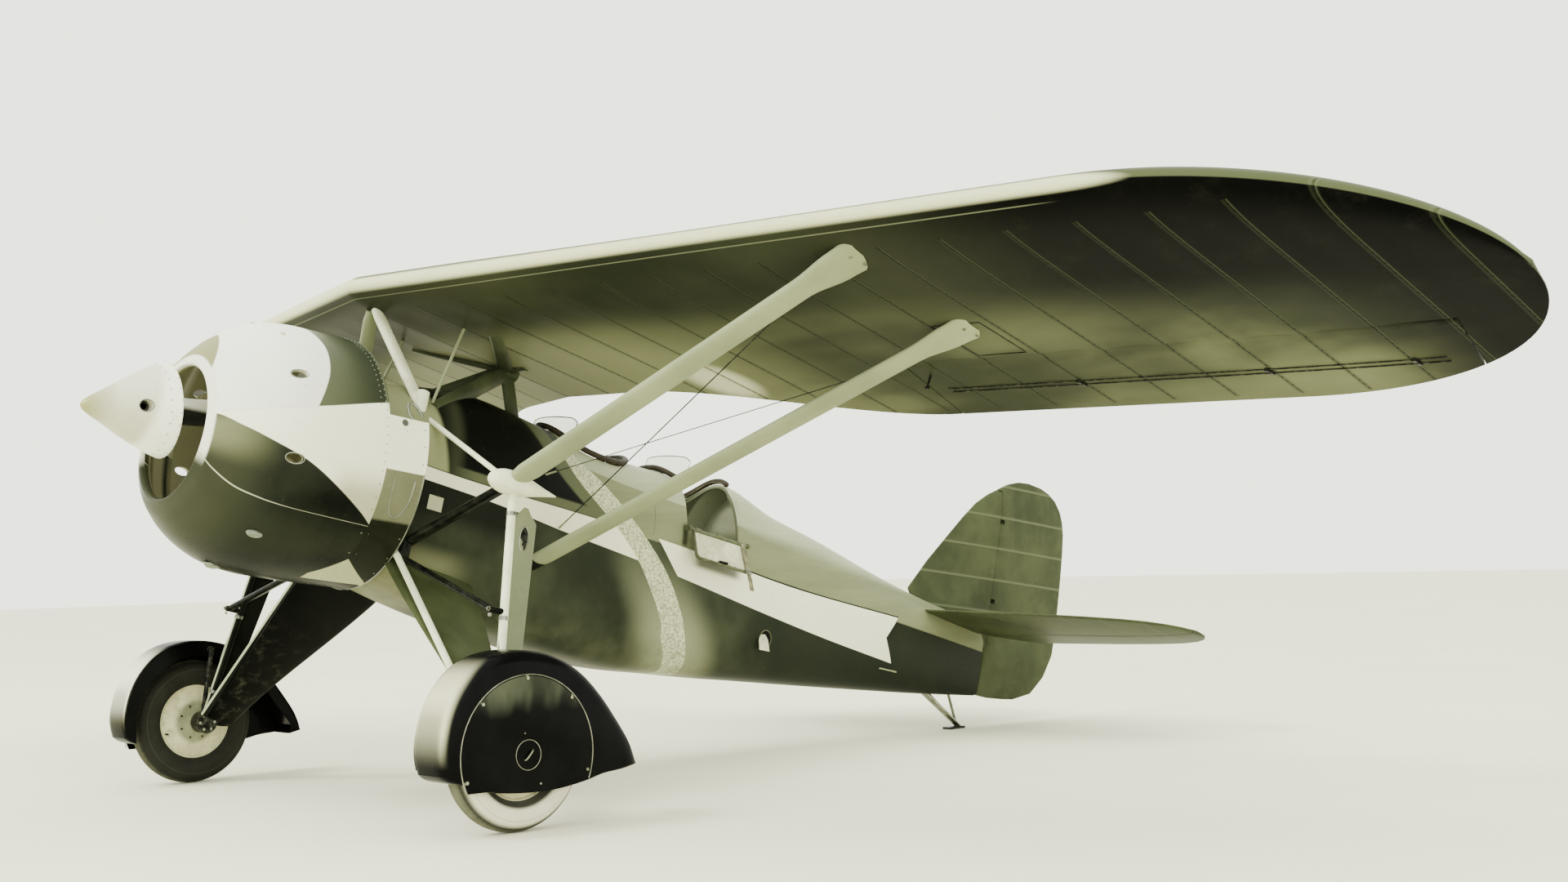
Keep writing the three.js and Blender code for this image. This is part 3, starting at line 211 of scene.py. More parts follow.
def tube(path, radius, sides=10):
    path = np.asarray(path, float)
    rings = []
    _, u, _ = basis(path[1] - path[0])
    for i, p in enumerate(path):
        along = unit(path[min(i + 1, len(path) - 1)] - path[max(i - 1, 0)])
        u = unit(u - along * u.dot(along))
        rings.append(p + radius * spokes(full_turn(sides), u, np.cross(along, u)))
    return loft(rings)


def block(low, high):
    (a, b, c), (d, e, f) = low, high
    points = [(x, y, z) for x in (a, d) for y in (b, e) for z in (c, f)]
    faces = [(0, 1, 3, 2), (4, 6, 7, 5), (0, 4, 5, 1), (2, 3, 7, 6), (0, 2, 6, 4), (1, 5, 7, 3)]
    return np.array(points, float), faces


def turned(profile, segments=96, closed=False):
    profile = np.asarray(profile, float)
    points = [(r * math.sin(t), y, r * math.cos(t)) for y, r in profile for t in full_turn(segments)]
    return np.array(points), grid_faces(len(profile), segments, closed)


def smooth(table, key, column, at):
    last = len(table) - 1
    k = sum(1 for row in table if row[key] <= at) - 1
    k = min(max(k, 0), last - 1)

    def slope(i):
        a, b = table[max(i - 1, 0)], table[min(i + 1, last)]
        return (b[column] - a[column]) / (b[key] - a[key])

    width = table[k + 1][key] - table[k][key]
    t = (at - table[k][key]) / width
    t2, t3 = t * t, t * t * t
    return (
        (2 * t3 - 3 * t2 + 1) * table[k][column]
        + (t3 - 2 * t2 + t) * width * slope(k)
        + (3 * t2 - 2 * t3) * table[k + 1][column]
        + (t3 - t2) * width * slope(k + 1)
    )


def curve_through(points, count):
    points = np.asarray(points, float)
    last = len(points) - 1
    out = []
    for i in range(count):
        at = i * last / (count - 1)
        k = min(int(at), last - 1)
        t = at - k
        a, b, c, d = (points[min(max(j, 0), last)] for j in range(k - 1, k + 3))
        square, cube = 2 * a - 5 * b + 4 * c - d, 3 * b - a - 3 * c + d
        out.append(0.5 * (2 * b + (c - a) * t + square * t * t + cube * t ** 3))
    return np.array(out)


def vertices_of(mesh):
    flat = np.zeros(len(mesh.vertices) * 3)
    mesh.vertices.foreach_get("co", flat)
    return flat.reshape(-1, 3)


def to_frame(obj, transform):
    obj.data.vertices.foreach_set("co", transform(vertices_of(obj.data)).ravel())
    obj.data.update()


def bake(obj):
    graph = bpy.context.evaluated_depsgraph_get()
    mesh = bpy.data.meshes.new_from_object(obj.evaluated_get(graph))
    obj.modifiers.clear()
    obj.data = mesh


def boolean(obj, cutters, operation="DIFFERENCE"):
    for cutter in cutters:
        cut = obj.modifiers.new("cut", "BOOLEAN")
        cut.object = cutter
        cut.operation = operation
        cut.solver = "MANIFOLD"
    bake(obj)
    for cutter in cutters:
        bpy.data.objects.remove(cutter)


# Materials: numbers and colours flow through small node graphs
class Field:
    def __init__(self, graph, socket):
        self.graph, self.socket = graph, socket

    def math(self, operation, *others):
        node = self.graph.tree.nodes.new("ShaderNodeMath")
        node.operation = operation
        for value, socket in zip((self, *others), node.inputs):
            self.graph.feed(socket, value)
        return Field(self.graph, node.outputs[0])

    def __add__(self, other):
        return self.math("ADD", other)

    def __sub__(self, other):
        return self.math("SUBTRACT", other)

    def __mul__(self, other):
        return self.math("MULTIPLY", other)

    def __truediv__(self, other):
        return self.math("DIVIDE", other)

    def abs(self):
        return self.math("ABSOLUTE")

    def fraction(self):
        return self.math("FRACT")

    def most(self, other):
        return self.math("MAXIMUM", other)

    def inverse(self):
        return self.math("MULTIPLY_ADD", -1.0, 1.0)

    def rise(self, low, high):
        node = self.graph.tree.nodes.new("ShaderNodeMapRange")
        node.interpolation_type = "SMOOTHSTEP"
        node.inputs["From Min"].default_value = low
        node.inputs["From Max"].default_value = high
        self.graph.tree.links.new(self.socket, node.inputs["Value"])
        return Field(self.graph, node.outputs["Result"])

    def within(self, low, high, soft=0.0015):
        return self.rise(low - soft, low + soft) * self.rise(high - soft, high + soft).inverse()

    def along(self, points):
        if len(points) > 4:
            points = [tuple(p) for p in curve_through(sorted(points), 30)]
        xs = [p[0] for p in points]
        ys = [p[1] for p in points]
        (x0, x1), (y0, y1) = (min(xs), max(xs)), (min(ys), max(ys) + 1e-6)
        node = self.graph.tree.nodes.new("ShaderNodeFloatCurve")
        curve = node.mapping.curves[0]
        while len(curve.points) < len(points):
            curve.points.new(0.5, 0.5)
        for target, (x, y) in zip(curve.points, sorted(points)):
            target.location = ((x - x0) / (x1 - x0), (y - y0) / (y1 - y0))
            target.handle_type = "VECTOR"
        node.mapping.update()
        scaled = (self - x0) / (x1 - x0)
        self.graph.tree.links.new(scaled.socket, node.inputs["Value"])
        return Field(self.graph, node.outputs[0]) * (y1 - y0) + y0


# The photo's print is harder than the studio light, so dark paints are deepened more than light ones
def deepened(colour):
    return colour[0] ** 1.9, colour[1] ** 1.86, colour[2] ** 1.7


class Graph:
    def __init__(self, name, roughness=0.5, metallic=0.0, coat=0.0, coat_roughness=0.1, specular=0.05):
        self.material = bpy.data.materials.new(name)
        self.material.use_nodes = True
        self.tree = self.material.node_tree
        self.shader = self.tree.nodes["Principled BSDF"]
        self.shader.inputs["Roughness"].default_value = roughness
        self.shader.inputs["Metallic"].default_value = metallic
        self.shader.inputs["Coat Weight"].default_value = coat
        self.shader.inputs["Coat Roughness"].default_value = coat_roughness
        self.shader.inputs["Specular IOR Level"].default_value = specular
        self.place = self.tree.nodes.new("ShaderNodeTexCoord").outputs["Object"]

    def feed(self, socket, value):
        if isinstance(value, Field):
            self.tree.links.new(value.socket, socket)
        else:
            socket.default_value = value

    def frame(self, origin, angle):
        node = self.tree.nodes.new("ShaderNodeMapping")
        node.inputs["Location"].default_value = -origin
        node.inputs["Rotation"].default_value = (angle, 0, 0)
        self.tree.links.new(self.place, node.inputs["Vector"])
        return self.split(node.outputs[0])

    def level(self):
        return self.frame(LEVEL_ORIGIN, TILT)

    def nose(self):
        pivot = np.array((0, DROOP_PIVOT / 1000, 0))
        return self.frame(turned_x([LEVEL_ORIGIN + pivot], -DROOP)[0] - pivot, TILT - DROOP)

    def facing(self):
        return self.split(self.tree.nodes.new("ShaderNodeNewGeometry").outputs["Normal"])

    def split(self, socket):
        node = self.tree.nodes.new("ShaderNodeSeparateXYZ")
        self.tree.links.new(socket, node.inputs[0])
        return [Field(self, node.outputs[i]) for i in range(3)]

    def noise(self, scale, detail=3.0, rough=0.5, stretch=(1, 1, 1)):
        node = self.tree.nodes.new("ShaderNodeTexNoise")
        node.inputs["Scale"].default_value = scale
        node.inputs["Detail"].default_value = detail
        node.inputs["Roughness"].default_value = rough
        source = self.place
        if stretch != (1, 1, 1):
            mapping = self.tree.nodes.new("ShaderNodeMapping")
            mapping.inputs["Scale"].default_value = stretch
            self.tree.links.new(self.place, mapping.inputs["Vector"])
            source = mapping.outputs[0]
        self.tree.links.new(source, node.inputs["Vector"])
        return Field(self, node.outputs["Fac"])

    def mix(self, amount, first, second):
        node = self.tree.nodes.new("ShaderNodeMix")
        node.data_type = "RGBA"
        self.feed(node.inputs[0], amount)
        for socket, colour in ((node.inputs[6], first), (node.inputs[7], second)):
            self.feed(socket, colour if isinstance(colour, Field) else (*deepened(colour), 1))
        return Field(self, node.outputs[2])

    def paint(self, colour, roughness):
        self.feed(self.shader.inputs["Base Color"], colour)
        self.feed(self.shader.inputs["Roughness"], roughness)
        return self.material

    # the finished material: its colour, its roughness and the relief of its surface
    def coat(self, colour, roughness, relief, depth, strength):
        node = self.tree.nodes.new("ShaderNodeBump")
        node.inputs["Distance"].default_value = depth
        node.inputs["Strength"].default_value = strength
        self.tree.links.new(relief.socket, node.inputs["Height"])
        self.tree.links.new(node.outputs[0], self.shader.inputs["Normal"])
        return self.paint(colour, roughness)


WHITE, DUST = (0.93, 0.93, 0.80), (0.50, 0.49, 0.37)
NEAR_BLACK, DARK_FRONT_SIDE = (0.05, 0.055, 0.03), (0.05, 0.05, 0.034)


# Body: one loft with both cockpits and the door's opening cut out
FUSELAGE = [
    dict(zip(("y", "width", "top", "bottom", "widest", "upper", "lower"), row))
    for row in (
        (870, 430, 392, -500, -20, 2.1, 2.6),
        (1060, 455, 425, -600, -30, 2.1, 3.2),
        (1500, 440, 500, -690, -60, 2.2, 3.6),
        (1950, 425, 468, -740, -80, 2.3, 3.8),
        (2300, 412, 432, -765, -90, 2.3, 4),
        (2750, 392, 428, -762, -100, 2.3, 4),
        (3200, 365, 470, -715, -100, 2.2, 4),
        (3480, 343, 492, -684, -100, 2, 3.8),
        (3820, 312, 408, -640, -100, 2, 3.6),
        (4270, 262, 350, -583, -90, 2, 3.3),
        (4840, 196, 258, -508, -80, 2, 3),
        (5410, 122, 192, -430, -60, 2, 2.8),
        (6000, 34, 160, -340, -60, 2.2, 2.6),
    )
]
COCKPITS = {"front": (2330, 290, 262, -88, 268), "rear": (3150, 270, 250, 68, 320)}
DOOR_FRONT, DOOR_REAR, DOOR_SILL = 2960, 3390, 110
DOOR_ANGLE = math.radians(24)
SHELL = 24


def station(y):
    return {key: smooth(FUSELAGE, "y", key, y)
            for key in ("width", "top", "bottom", "widest", "upper", "lower")}


def body_ring(y, count=112, grow=0.0):
    s = station(y)
    turns = 2 * math.pi * (np.arange(count) + 0.5) / count
    c, v = np.cos(turns), np.sin(turns)
    power = np.where(v > 0, 2 / s["upper"], 2 / s["lower"])
    reach = np.where(v > 0, s["top"] + grow - s["widest"], s["widest"] - s["bottom"] + grow)
    x = (s["width"] + grow) * np.sign(c) * np.abs(c) ** power
    z = s["widest"] + reach * np.sign(v) * np.abs(v) ** power
    return np.stack([x, np.full(count, float(y)), z], 1)


def body_side(y, z, grow=0.0):
    s = station(y)
    up = z > s["widest"]
    power = s["upper"] if up else s["lower"]
    reach = s["top"] - s["widest"] if up else s["widest"] - s["bottom"]
    t = min(abs(z - s["widest"]) / reach, 0.999)
    return s["width"] * (1 - t ** power) ** (1 / power) + grow


def deck(x, y, grow=0.0):
    s = station(y)
    t = min(abs(x) / s["width"], 0.999)
    return s["widest"] + (s["top"] - s["widest"]) * (1 - t ** s["upper"]) ** (1 / s["upper"]) + grow


def cockpit_edge(name, turns):
    y, length, width = COCKPITS[name][:3]
    c, s = np.cos(turns), np.sin(turns)
    return width * np.sign(c) * np.abs(c) ** 0.7, y + length * np.sign(s) * np.abs(s) ** 0.7


def plug(name):
    x, y = cockpit_edge(name, full_turn(72))
    return loft([np.stack([x, y, np.full(72, float(z))], 1) for z in (0, 700)])


FLASH_TOP = ((1.0, -0.014), (1.43, -0.026), (2.3, -0.016), (2.96, -0.018), (3.9, -0.045), (4.97, -0.008))
FLASH_BOTTOM = ((1.0, -0.085), (1.6, -0.1), (2.1, -0.138), (2.53, -0.163), (2.94, -0.19), (3.67, -0.248),
                (4.3, -0.284), (4.98, -0.306))
STRIPE_FRONT = ((-0.8, 3.1), (-0.55, 2.906), (-0.46, 2.872), (-0.22, 2.678), (-0.06, 2.488), (0.124, 2.193),
                (0.25, 2.06), (0.45, 1.93))
STRIPE_REAR = ((-0.8, 3.24), (-0.51, 3.082), (-0.385, 3.011), (-0.185, 2.845), (0.014, 2.59), (0.2, 2.314),
               (0.3, 2.131), (0.45, 2.0))


DECK_EDGE = ((0.8, 0.39), (1.3, 0.425), (1.75, 0.345), (2.0, 0.29), (2.3, 0.245), (3.0, 0.226), (6.1, 0.2))


def body_material():
    g = Graph("body_paint", coat=0.01, coat_roughness=0.2, specular=0.04)
    x, s, h = g.level()
    blotch = g.noise(1.7, 4, 0.55)
    grain = g.noise(160, 2, 0.6)
    streak = g.noise(5, 3, 0.6, (1, 0.25, 2.5))
    front = h.along(STRIPE_FRONT)
    rear = h.along(STRIPE_REAR)
    ahead = (front - s).rise(-0.004, 0.004)
    behind = (s - rear).rise(-0.004, 0.004)
    stripe = (ahead.most(behind)).inverse() * h.rise(0.34, 0.36).inverse()
    side = g.mix(blotch.rise(0.35, 0.7), (0.11, 0.12, 0.07), (0.19, 0.20, 0.12))
    # the side ahead of the stripe is darker towards the front
    ahead_dark = s.rise(1.7, 2.0).inverse() * h.rise(-0.34, -0.2)
    side = g.mix(ahead_dark * 0.85, side, DARK_FRONT_SIDE)
    low_front = s.rise(1.35, 1.6).inverse() * h.rise(-0.5, -0.38).inverse()
    side = g.mix(low_front * 0.8, side, (0.42, 0.42, 0.27))
    side = g.mix(s.rise(3.3, 4.0) * 0.85, side, (0.085, 0.093, 0.055))
    rear_side = g.mix(streak.rise(0.2, 0.85), (0.36, 0.37, 0.235), (0.42, 0.43, 0.28))
    upper = h.rise(-0.04, -0.03)
    base = g.mix(upper * behind, side, rear_side)
    line_top, line_bottom = s.along(FLASH_TOP), s.along(FLASH_BOTTOM)
    # darkest above the flash, between the cowl and the stripe
    panel = (front - s).rise(0.11, 0.15) * (h - line_top).rise(0.045, 0.06) * s.rise(1.3, 1.4)
    ahead_olive = ahead * (h - line_top).rise(0.0, 0.01) * s.rise(1.22, 1.5)
    base = g.mix(ahead_olive, base, (0.28, 0.29, 0.18))
    base = g.mix(panel, base, DARK_FRONT_SIDE)
    forward = (s + h * 0.23).rise(1.265, 1.30).inverse() * (h - line_top).rise(0.0, 0.01)
    base = g.mix(forward * 0.85, base, (0.50, 0.51, 0.33))
    plate = s.within(1.203, 1.291, 0.001) * h.within(-0.229, -0.155, 0.001)
    base = g.mix(plate, base, (0.62, 0.62, 0.46))
    joint = s.within(2.7075, 2.7105, 0.0008) * h.within(0.0, 0.235, 0.003)
    base = g.mix(joint * 0.7, base, (0.08, 0.085, 0.05))
    deck_edge = s.along(DECK_EDGE)
    soft = s.rise(3.3, 3.7) * 0.045 + 0.003
    top = ((h - deck_edge) / soft).rise(-1.0, 1.0)
    base = g.mix(top * s.rise(2.05, 2.07), base, g.mix(streak, (0.44, 0.45, 0.31), (0.60, 0.61, 0.46)))
    # painted reflection: a light olive glow on the lower side around the stripe
    side_reflection = (s - (front + rear) * 0.5).abs().rise(0.1, 0.42).inverse() * (h + 0.1).rise(-0.5, 0.1).inverse()
    base = g.mix(side_reflection * 0.8, base, (0.50, 0.51, 0.36))
    mottle = g.noise(75, 3, 0.75).rise(0.38, 0.62)
    base = g.mix(stripe, base, g.mix(mottle, (0.48, 0.49, 0.34), (0.78, 0.79, 0.62)))
    band = (line_top - h).rise(-0.002, 0.002) * (h - line_bottom).rise(-0.002, 0.002)
    slant = (s - ((h + 0.022) * -1.07 + 2.756)).rise(-0.003, 0.003)
    tail_middle = (line_top + line_bottom) * 0.5
    notch = ((h - tail_middle).abs() / ((line_top - line_bottom) * 0.5)) * 0.1 + 4.88
    tail = (notch - s).rise(-0.003, 0.003)
    band = band * (ahead.most(slant)) * tail
    chalk = g.mix(blotch, (0.84, 0.84, 0.70), WHITE)
    base = g.mix(band, base, chalk)
    pinstripe = (h - line_top).within(0.001, 0.009, 0.001) * s.rise(3.45, 3.5) * tail
    base = g.mix(pinstripe, base, NEAR_BLACK)
    # painted shadow: near-black under the open door's lower edge and in the gap ahead of its front edge
    shadow_under_door = s.within(3.05, 3.42, 0.05) * h.within(-0.105, -0.045, 0.02)
    shadow_beside_door = s.within(2.93, 2.97, 0.012) * h.within(-0.01, 0.12, 0.02)
    base = g.mix(shadow_under_door.most(shadow_beside_door) * x.rise(0, 0.1) * 0.8, base, NEAR_BLACK)
    base = g.mix(body_inside(x, s, h), base, (0.30, 0.31, 0.20))
    spots = g.noise(26, 4, 0.65).rise(0.62, 0.78) * 0.35
    base = g.mix(spots, base, (0.20, 0.20, 0.13))
    low_dust = h.rise(-0.66, -0.5).inverse() * g.noise(9, 4).rise(0.35, 0.75) * s.rise(3.0,
                      3.6).inverse() * 0.5
    base = g.mix(low_dust, base, (0.25, 0.245, 0.16))
    return g.coat(base, grain * 0.12 + blotch * 0.16 + 0.24, grain * 0.25 + blotch, 0.0012, 0.35)


def body_inside(x, s, h):
    wide, peak, low, widest = (
        s.along([(row["y"] / 1000, row[key] / 1000 + shift) for row in FUSELAGE])
        for key, shift in (("width", -0.012), ("top", -0.012), ("bottom", 0.012), ("widest", 0))
    )
    above = (h - widest).most(0.0) / (peak - widest)
    below = (widest - h).most(0.0) / (widest - low)
    across = x.abs() / wide
    top = across.math("POWER", 2.2) + above.math("POWER", 2.2)
    bottom = across.math("POWER", 3.9) + below.math("POWER", 3.9)
    upper = above.rise(0.0, 0.01)
    outline = bottom * upper.inverse() + top * upper
    behind_opening = h.rise(0.12, 0.16) * s.rise(3.42, 3.44)
    return outline.rise(0.985, 1.015).inverse() * s.within(1.94, 3.61) * behind_opening.inverse()


BODY = body_material()
stations = np.unique(np.concatenate([np.linspace(870, 6000, 116), [1950, 3600]]))
body = closed_object("fuselage", loft([body_ring(y) for y in stations]), BODY)


inner_stations = np.linspace(1950 + SHELL, 3600 - SHELL, 34)
hollow = loft([body_ring(y, 80, -SHELL) for y in inner_stations])
doorway = block((150, DOOR_FRONT, DOOR_SILL), (600, DOOR_REAR, 700))
boolean(body, [closed_object("space", shape) for shape in (hollow, plug("front"), plug("rear"), doorway)])
to_frame(body, level)
settle(body, replaces=("fuselage_front", "fuselage_cockpits", "fuselage_rear"),
       crease=32)


# Shapes that several pieces share


def strut(start, end, sections, fore=(0, 1, 0), sides=36):
    start, end = np.asarray(start, float), np.asarray(end, float)
    along = end - start
    axis = unit(along)
    fore = np.asarray(fore, float)
    fore = unit(fore - axis * fore.dot(axis))
    side = np.cross(axis, fore)
    x = np.cos(full_turn(sides))
    y = np.sin(full_turn(sides)) * (1 - 0.35 * x)
    rings = []
    for at, chord, thick, shift in sections:
        middle = start + along * at + fore * shift
        rings.append(middle + np.outer(x * chord / 2, fore) + np.outer(y * thick / 2, side))
    return loft(rings)


def bar(start, end, chord, thick, fore=(0, 1, 0), sides=36):
    return strut(start, end, [(0, chord, thick, 0), (1, chord, thick, 0)], fore, sides)


def eased(sections, count=24):
    sections = [tuple(row) + (0,) * (4 - len(row)) for row in sections]
    keys = [row[0] for row in sections]
    out = []
    for at in np.unique(np.concatenate([keys, np.linspace(keys[0], keys[-1], count)])):
        k = min(max(np.searchsorted(keys, at, "right") - 1, 0), len(keys) - 2)
        t = (at - keys[k]) / (keys[k + 1] - keys[k])
        t = t * t * (3 - 2 * t)
        a, b = np.array(sections[k]), np.array(sections[k + 1])
        out.append((at, *(a + (b - a) * t)[1:]))
    return out


def bolt(at, along, radius=7, height=5):
    at, (along, _, _) = np.asarray(at, float), basis(along)
    washer = rod(at - along, at + along * 1.2, radius * 1.35, sides=18)
    head = rod(at, at + along * height, radius, radius * 0.92, sides=6)
    return merged(washer, head)


def domes(spots, radius, height=0.5, sides=8):
    parts = []
    for at, along in spots:
        at, (along, u, v) = np.asarray(at, float), basis(along)
        spread = spokes(full_turn(sides), u, v)
        rings = []
        for share, lift in ((1, -0.4), (0.92, 0.25), (0.55, 0.75), (0.1, 1)):
            rings.append(at + spread * radius * share + along * radius * height * lift)
        parts.append(loft(rings))
    return merged(*parts)


# Plain coats of paint and metal with wear
def worn_paint(name, colour, other, roughness=0.35, coat=0.04, scale=3.0, metallic=0.0, dust=0.0):
    g = Graph(name, coat=coat, coat_roughness=0.15, metallic=metallic)
    blotch = g.noise(scale, 4, 0.55)
    grain = g.noise(scale * 60, 2, 0.6)
    base = g.mix(blotch.rise(0.3, 0.7), colour, other)
    if dust:
        base = g.mix(g.noise(scale * 4, 4, 0.7).rise(0.42, 0.75) * dust, base, DUST)
    rough = grain * 0.12 + blotch * 0.15 + (roughness - 0.13)
    return g.coat(base, rough, grain * 0.3 + blotch, 0.001, 0.3)


# Nose: ring cowl, its rear band, engine and spinner
COWL_RADIUS, COWL_LENGTH = 632, 820
SKIRT_FRONT, SKIRT_BACK, SKIRT_OPEN = 820.3, 1045.3, 72
COWL_OUTER = [(15, 359), (35, 403), (65, 441), (125, 500), (205, 556), (305, 602), (435, 628), (620, 633),
              (820, 632)]
COWL_LIP = [(90, 390), (50, 336), (22, 330), (8, 340), (15, 359)]
COWL_HOLES = (60, 100, -60, -100)
HOLE_STATION, HOLE_RADIUS, HOLE_STRETCH = 350, 25, 1.75


def cowl_radius(y):
    return float(np.interp(y, [p[0] for p in COWL_OUTER], [p[1] for p in COWL_OUTER]))


def on_cowl(angle, y, lift=0.0):
    r = (cowl_radius(y) if y < COWL_LENGTH else COWL_RADIUS - 3) + lift
    t = math.radians(angle)
    return r * math.sin(t), y, r * math.cos(t)


def in_cowl(points):
    return cowl(points) * 1000


def from_cowl(angle, y, lift=0.0):
    at = np.array(on_cowl(angle, y, lift))
    return at, np.array(on_cowl(angle, y, 1000)) - at


def cowl_shape():
    outer = curve_through(COWL_OUTER, 46)
    inner = curve_through([(820, 620), (600, 618), (305, 590), (200, 540), (125, 488), (90, 390)], 20)
    lip = curve_through(COWL_LIP, 22)
    return turned(np.concatenate([outer, inner, lip[1:-1]]), 144, closed=True)


# Edges of the cowl's paint: angle from the top in degrees, station in metres
FLASH_UPPER = ((0.0, 80.5), (0.05, 79.8), (0.215, 78.7), (0.474, 74.5), (0.828, 66.0), (1.06, 62.0))
FLASH_LOWER = ((0.0, 78.0), (0.03, 80.4), (0.085, 85.2), (0.13, 88.4), (0.25, 94.0), (0.42, 100.0),
               (0.573, 107.5), (0.744, 117.4), (0.826, 123.3))
SEAM = ((0.0, 110.0), (0.045, 116.0), (0.13, 120.4), (0.25, 121.5), (0.5, 122.4), (0.83, 124.2))
WHITE_REAR = ((0.0, 0.53), (23.0, 0.525), (40.0, 0.535), (55.0, 0.514), (66.0, 0.475), (77.0, 0.424),
              (82.0, 0.40))


def cowl_angle(x, h):
    turn = x.abs().math("ARCTAN2", h + COWL_DROP / 1000)
    return turn * (180 / math.pi)


def cowl_material():
    g = Graph("cowl_paint", coat=0.02, coat_roughness=0.12, specular=0.04)
    x, s, h = g.nose()
    angle = cowl_angle(x, h)
    blotch = g.noise(2.2, 4, 0.55)
    grain = g.noise(140, 2, 0.6)
    flat = s - (h + COWL_DROP / 1000) * (s / 0.42).inverse().most(0.0) * COWL_RAKE
    white_top = (angle.along(WHITE_REAR) - s).rise(-0.004,
                 0.004) * (s.along(FLASH_UPPER) - angle).rise(-0.3, 0.3)
    flash = (angle - s.along(FLASH_UPPER)).rise(-0.3, 0.3) * (s.along(FLASH_LOWER) - angle).rise(-0.3, 0.3)
    band = s.rise(0.822, 0.824)
    flash = flash * band.inverse()
    over_band = (angle - s.along(FLASH_UPPER)).rise(-0.3, 0.3) * angle.rise(96.3, 96.9).inverse() * band
    side = g.mix(blotch.rise(0.3, 0.7), (0.055, 0.058, 0.036), (0.105, 0.110, 0.066))
    front = s.rise(0.05, 0.33).inverse() * angle.rise(74, 88)
    front = front * (angle.rise(94, 112).inverse() * 0.66 + 0.14)
    side = g.mix(front, side, (0.40, 0.405, 0.26))
    upper_rear = angle.rise(84, 88).inverse() * s.rise(0.3, 0.4)
    side = g.mix(upper_rear, side, g.mix(s.rise(0.45, 0.8), (0.26, 0.27, 0.17), (0.15, 0.16, 0.098)))
    belly = angle.rise(118, 136) * s.rise(0.12, 0.3) * angle.rise(138, 150).inverse()
    side = g.mix(belly * 0.4, side, (0.14, 0.145, 0.085))
    shade = g.mix(blotch, (0.84, 0.84, 0.78), (0.94, 0.94, 0.88))
    base = g.mix(white_top, side, shade)
    # painted highlight on the rounded front lip, along its top and sides
    lip = flat.rise(0.026, 0.034).inverse() * angle.rise(106, 120).inverse()
    base = g.mix(lip, base, (0.86, 0.86, 0.76))
    # painted reflection: an olive pointed patch on the top of the lip
    peak = (angle / 40 + (flat - 0.03) * 8.5).rise(0.93, 1.0).inverse() * flat.rise(0.024, 0.03)
    base = g.mix(peak * 0.95, base, g.mix(blotch, (0.36, 0.36, 0.17), (0.48, 0.47, 0.26)))
    tan = angle.rise(94, 112) * s.rise(0.5, 0.65)
    base = g.mix(flash, base, g.mix(tan * 0.75, WHITE, (0.50, 0.49, 0.32)))
    metal = g.mix(g.noise(3.5, 3), (0.24, 0.24, 0.15), (0.44, 0.44, 0.30))
    lower_band = g.mix(angle.rise(119, 121), metal, g.mix(blotch, NEAR_BLACK, (0.12, 0.12, 0.07)))
    base = g.mix(band, base, lower_band)
    patch_edge = s.along(((0.70, 160.0), (0.826, 144.0), (1.04, 163.0)))
    belly_patch = (angle - patch_edge).rise(-0.4, 0.4) * s.within(0.70, 1.06, 0.004) * angle.rise(166,
                   167).inverse()
    base = g.mix(belly_patch, base, (0.60, 0.60, 0.42))
    base = g.mix(over_band, base, WHITE)
    seam_gap = (angle - s.along(SEAM)).abs()
    seam_width = s.rise(0.05, 0.45).inverse() * 0.36 + 0.08
    seam = (seam_gap - seam_width).rise(-0.1, 0.1).inverse() * band.inverse()
    base = g.mix(seam, base, (0.62, 0.62, 0.48))
    rim = s.rise(0.806, 0.809) * s.rise(0.816, 0.819).inverse() * angle.rise(66, 70).inverse()
    base = g.mix(rim * 0.5, base, (0.4, 0.41, 0.28))
    # the inner wall is painted light, lightest towards the bottom: painted sunlight through the mouth
    inside = (x * x + (h + 0.04) * (h + 0.04)).math("SQRT")
    radius = flat.along(tuple((y / 1000, r / 1000 - 0.009) for y, r in COWL_OUTER))
    inside = (radius - inside).rise(-0.002, 0.002) * flat.rise(0.045, 0.075)
    base = g.mix(inside, base, g.mix(angle.rise(128, 150), (0.62, 0.61, 0.45), (0.95, 0.94, 0.86)))
    specks = g.noise(30, 4, 0.65).rise(0.6, 0.8) * 0.3
    base = g.mix(specks, base, (0.20, 0.20, 0.13))
    shiny = white_top.most(flash)
    rough = grain * 0.1 + blotch * 0.16 + 0.16 + shiny * 0.10
    return g.coat(base, rough, grain * 0.2 + blotch, 0.0012, 0.3)


COWL = cowl_material()
ring = closed_object("cowl", placed(cowl, cowl_shape()), COWL)
cutters = []
for angle in COWL_HOLES:
    middle = np.array(on_cowl(angle, HOLE_STATION, -20))
    away = np.array(on_cowl(angle, HOLE_STATION, 30)) - middle
    points, faces = rod(middle - away * 0.4, middle + away, HOLE_RADIUS - 2, sides=32)
    points[:, 1] = HOLE_STATION + (points[:, 1] - HOLE_STATION) * HOLE_STRETCH
    cutters.append(closed_object("hole", (cowl(points), faces)))
boolean(ring, cutters)
settle(ring, replaces=("cowl_ring",), crease=40)


def hole_rim(angle):
    turns = np.arange(41) * 2 * math.pi / 40
    path = []
    for t in turns:
        y = HOLE_STATION + HOLE_STRETCH * HOLE_RADIUS * math.cos(t)
        swing = math.degrees(HOLE_RADIUS * math.sin(t) / cowl_radius(y))
        path.append(on_cowl(angle + swing, y, 1.5))
    return tube(in_cowl(path), 3.2, 8)


LIGHT_METAL = worn_paint("light_metal", (0.52, 0.53, 0.44), (0.36, 0.37, 0.29), roughness=0.3,
                         metallic=0.75, scale=9)
DARK_METAL = worn_paint("dark_metal", (0.055, 0.056, 0.045), (0.10, 0.10, 0.075), roughness=0.42,
                        metallic=0.6, scale=9, dust=0.25)
piece("cowl_hole_rims", metres, [hole_rim(angle) for angle in COWL_HOLES], LIGHT_METAL)


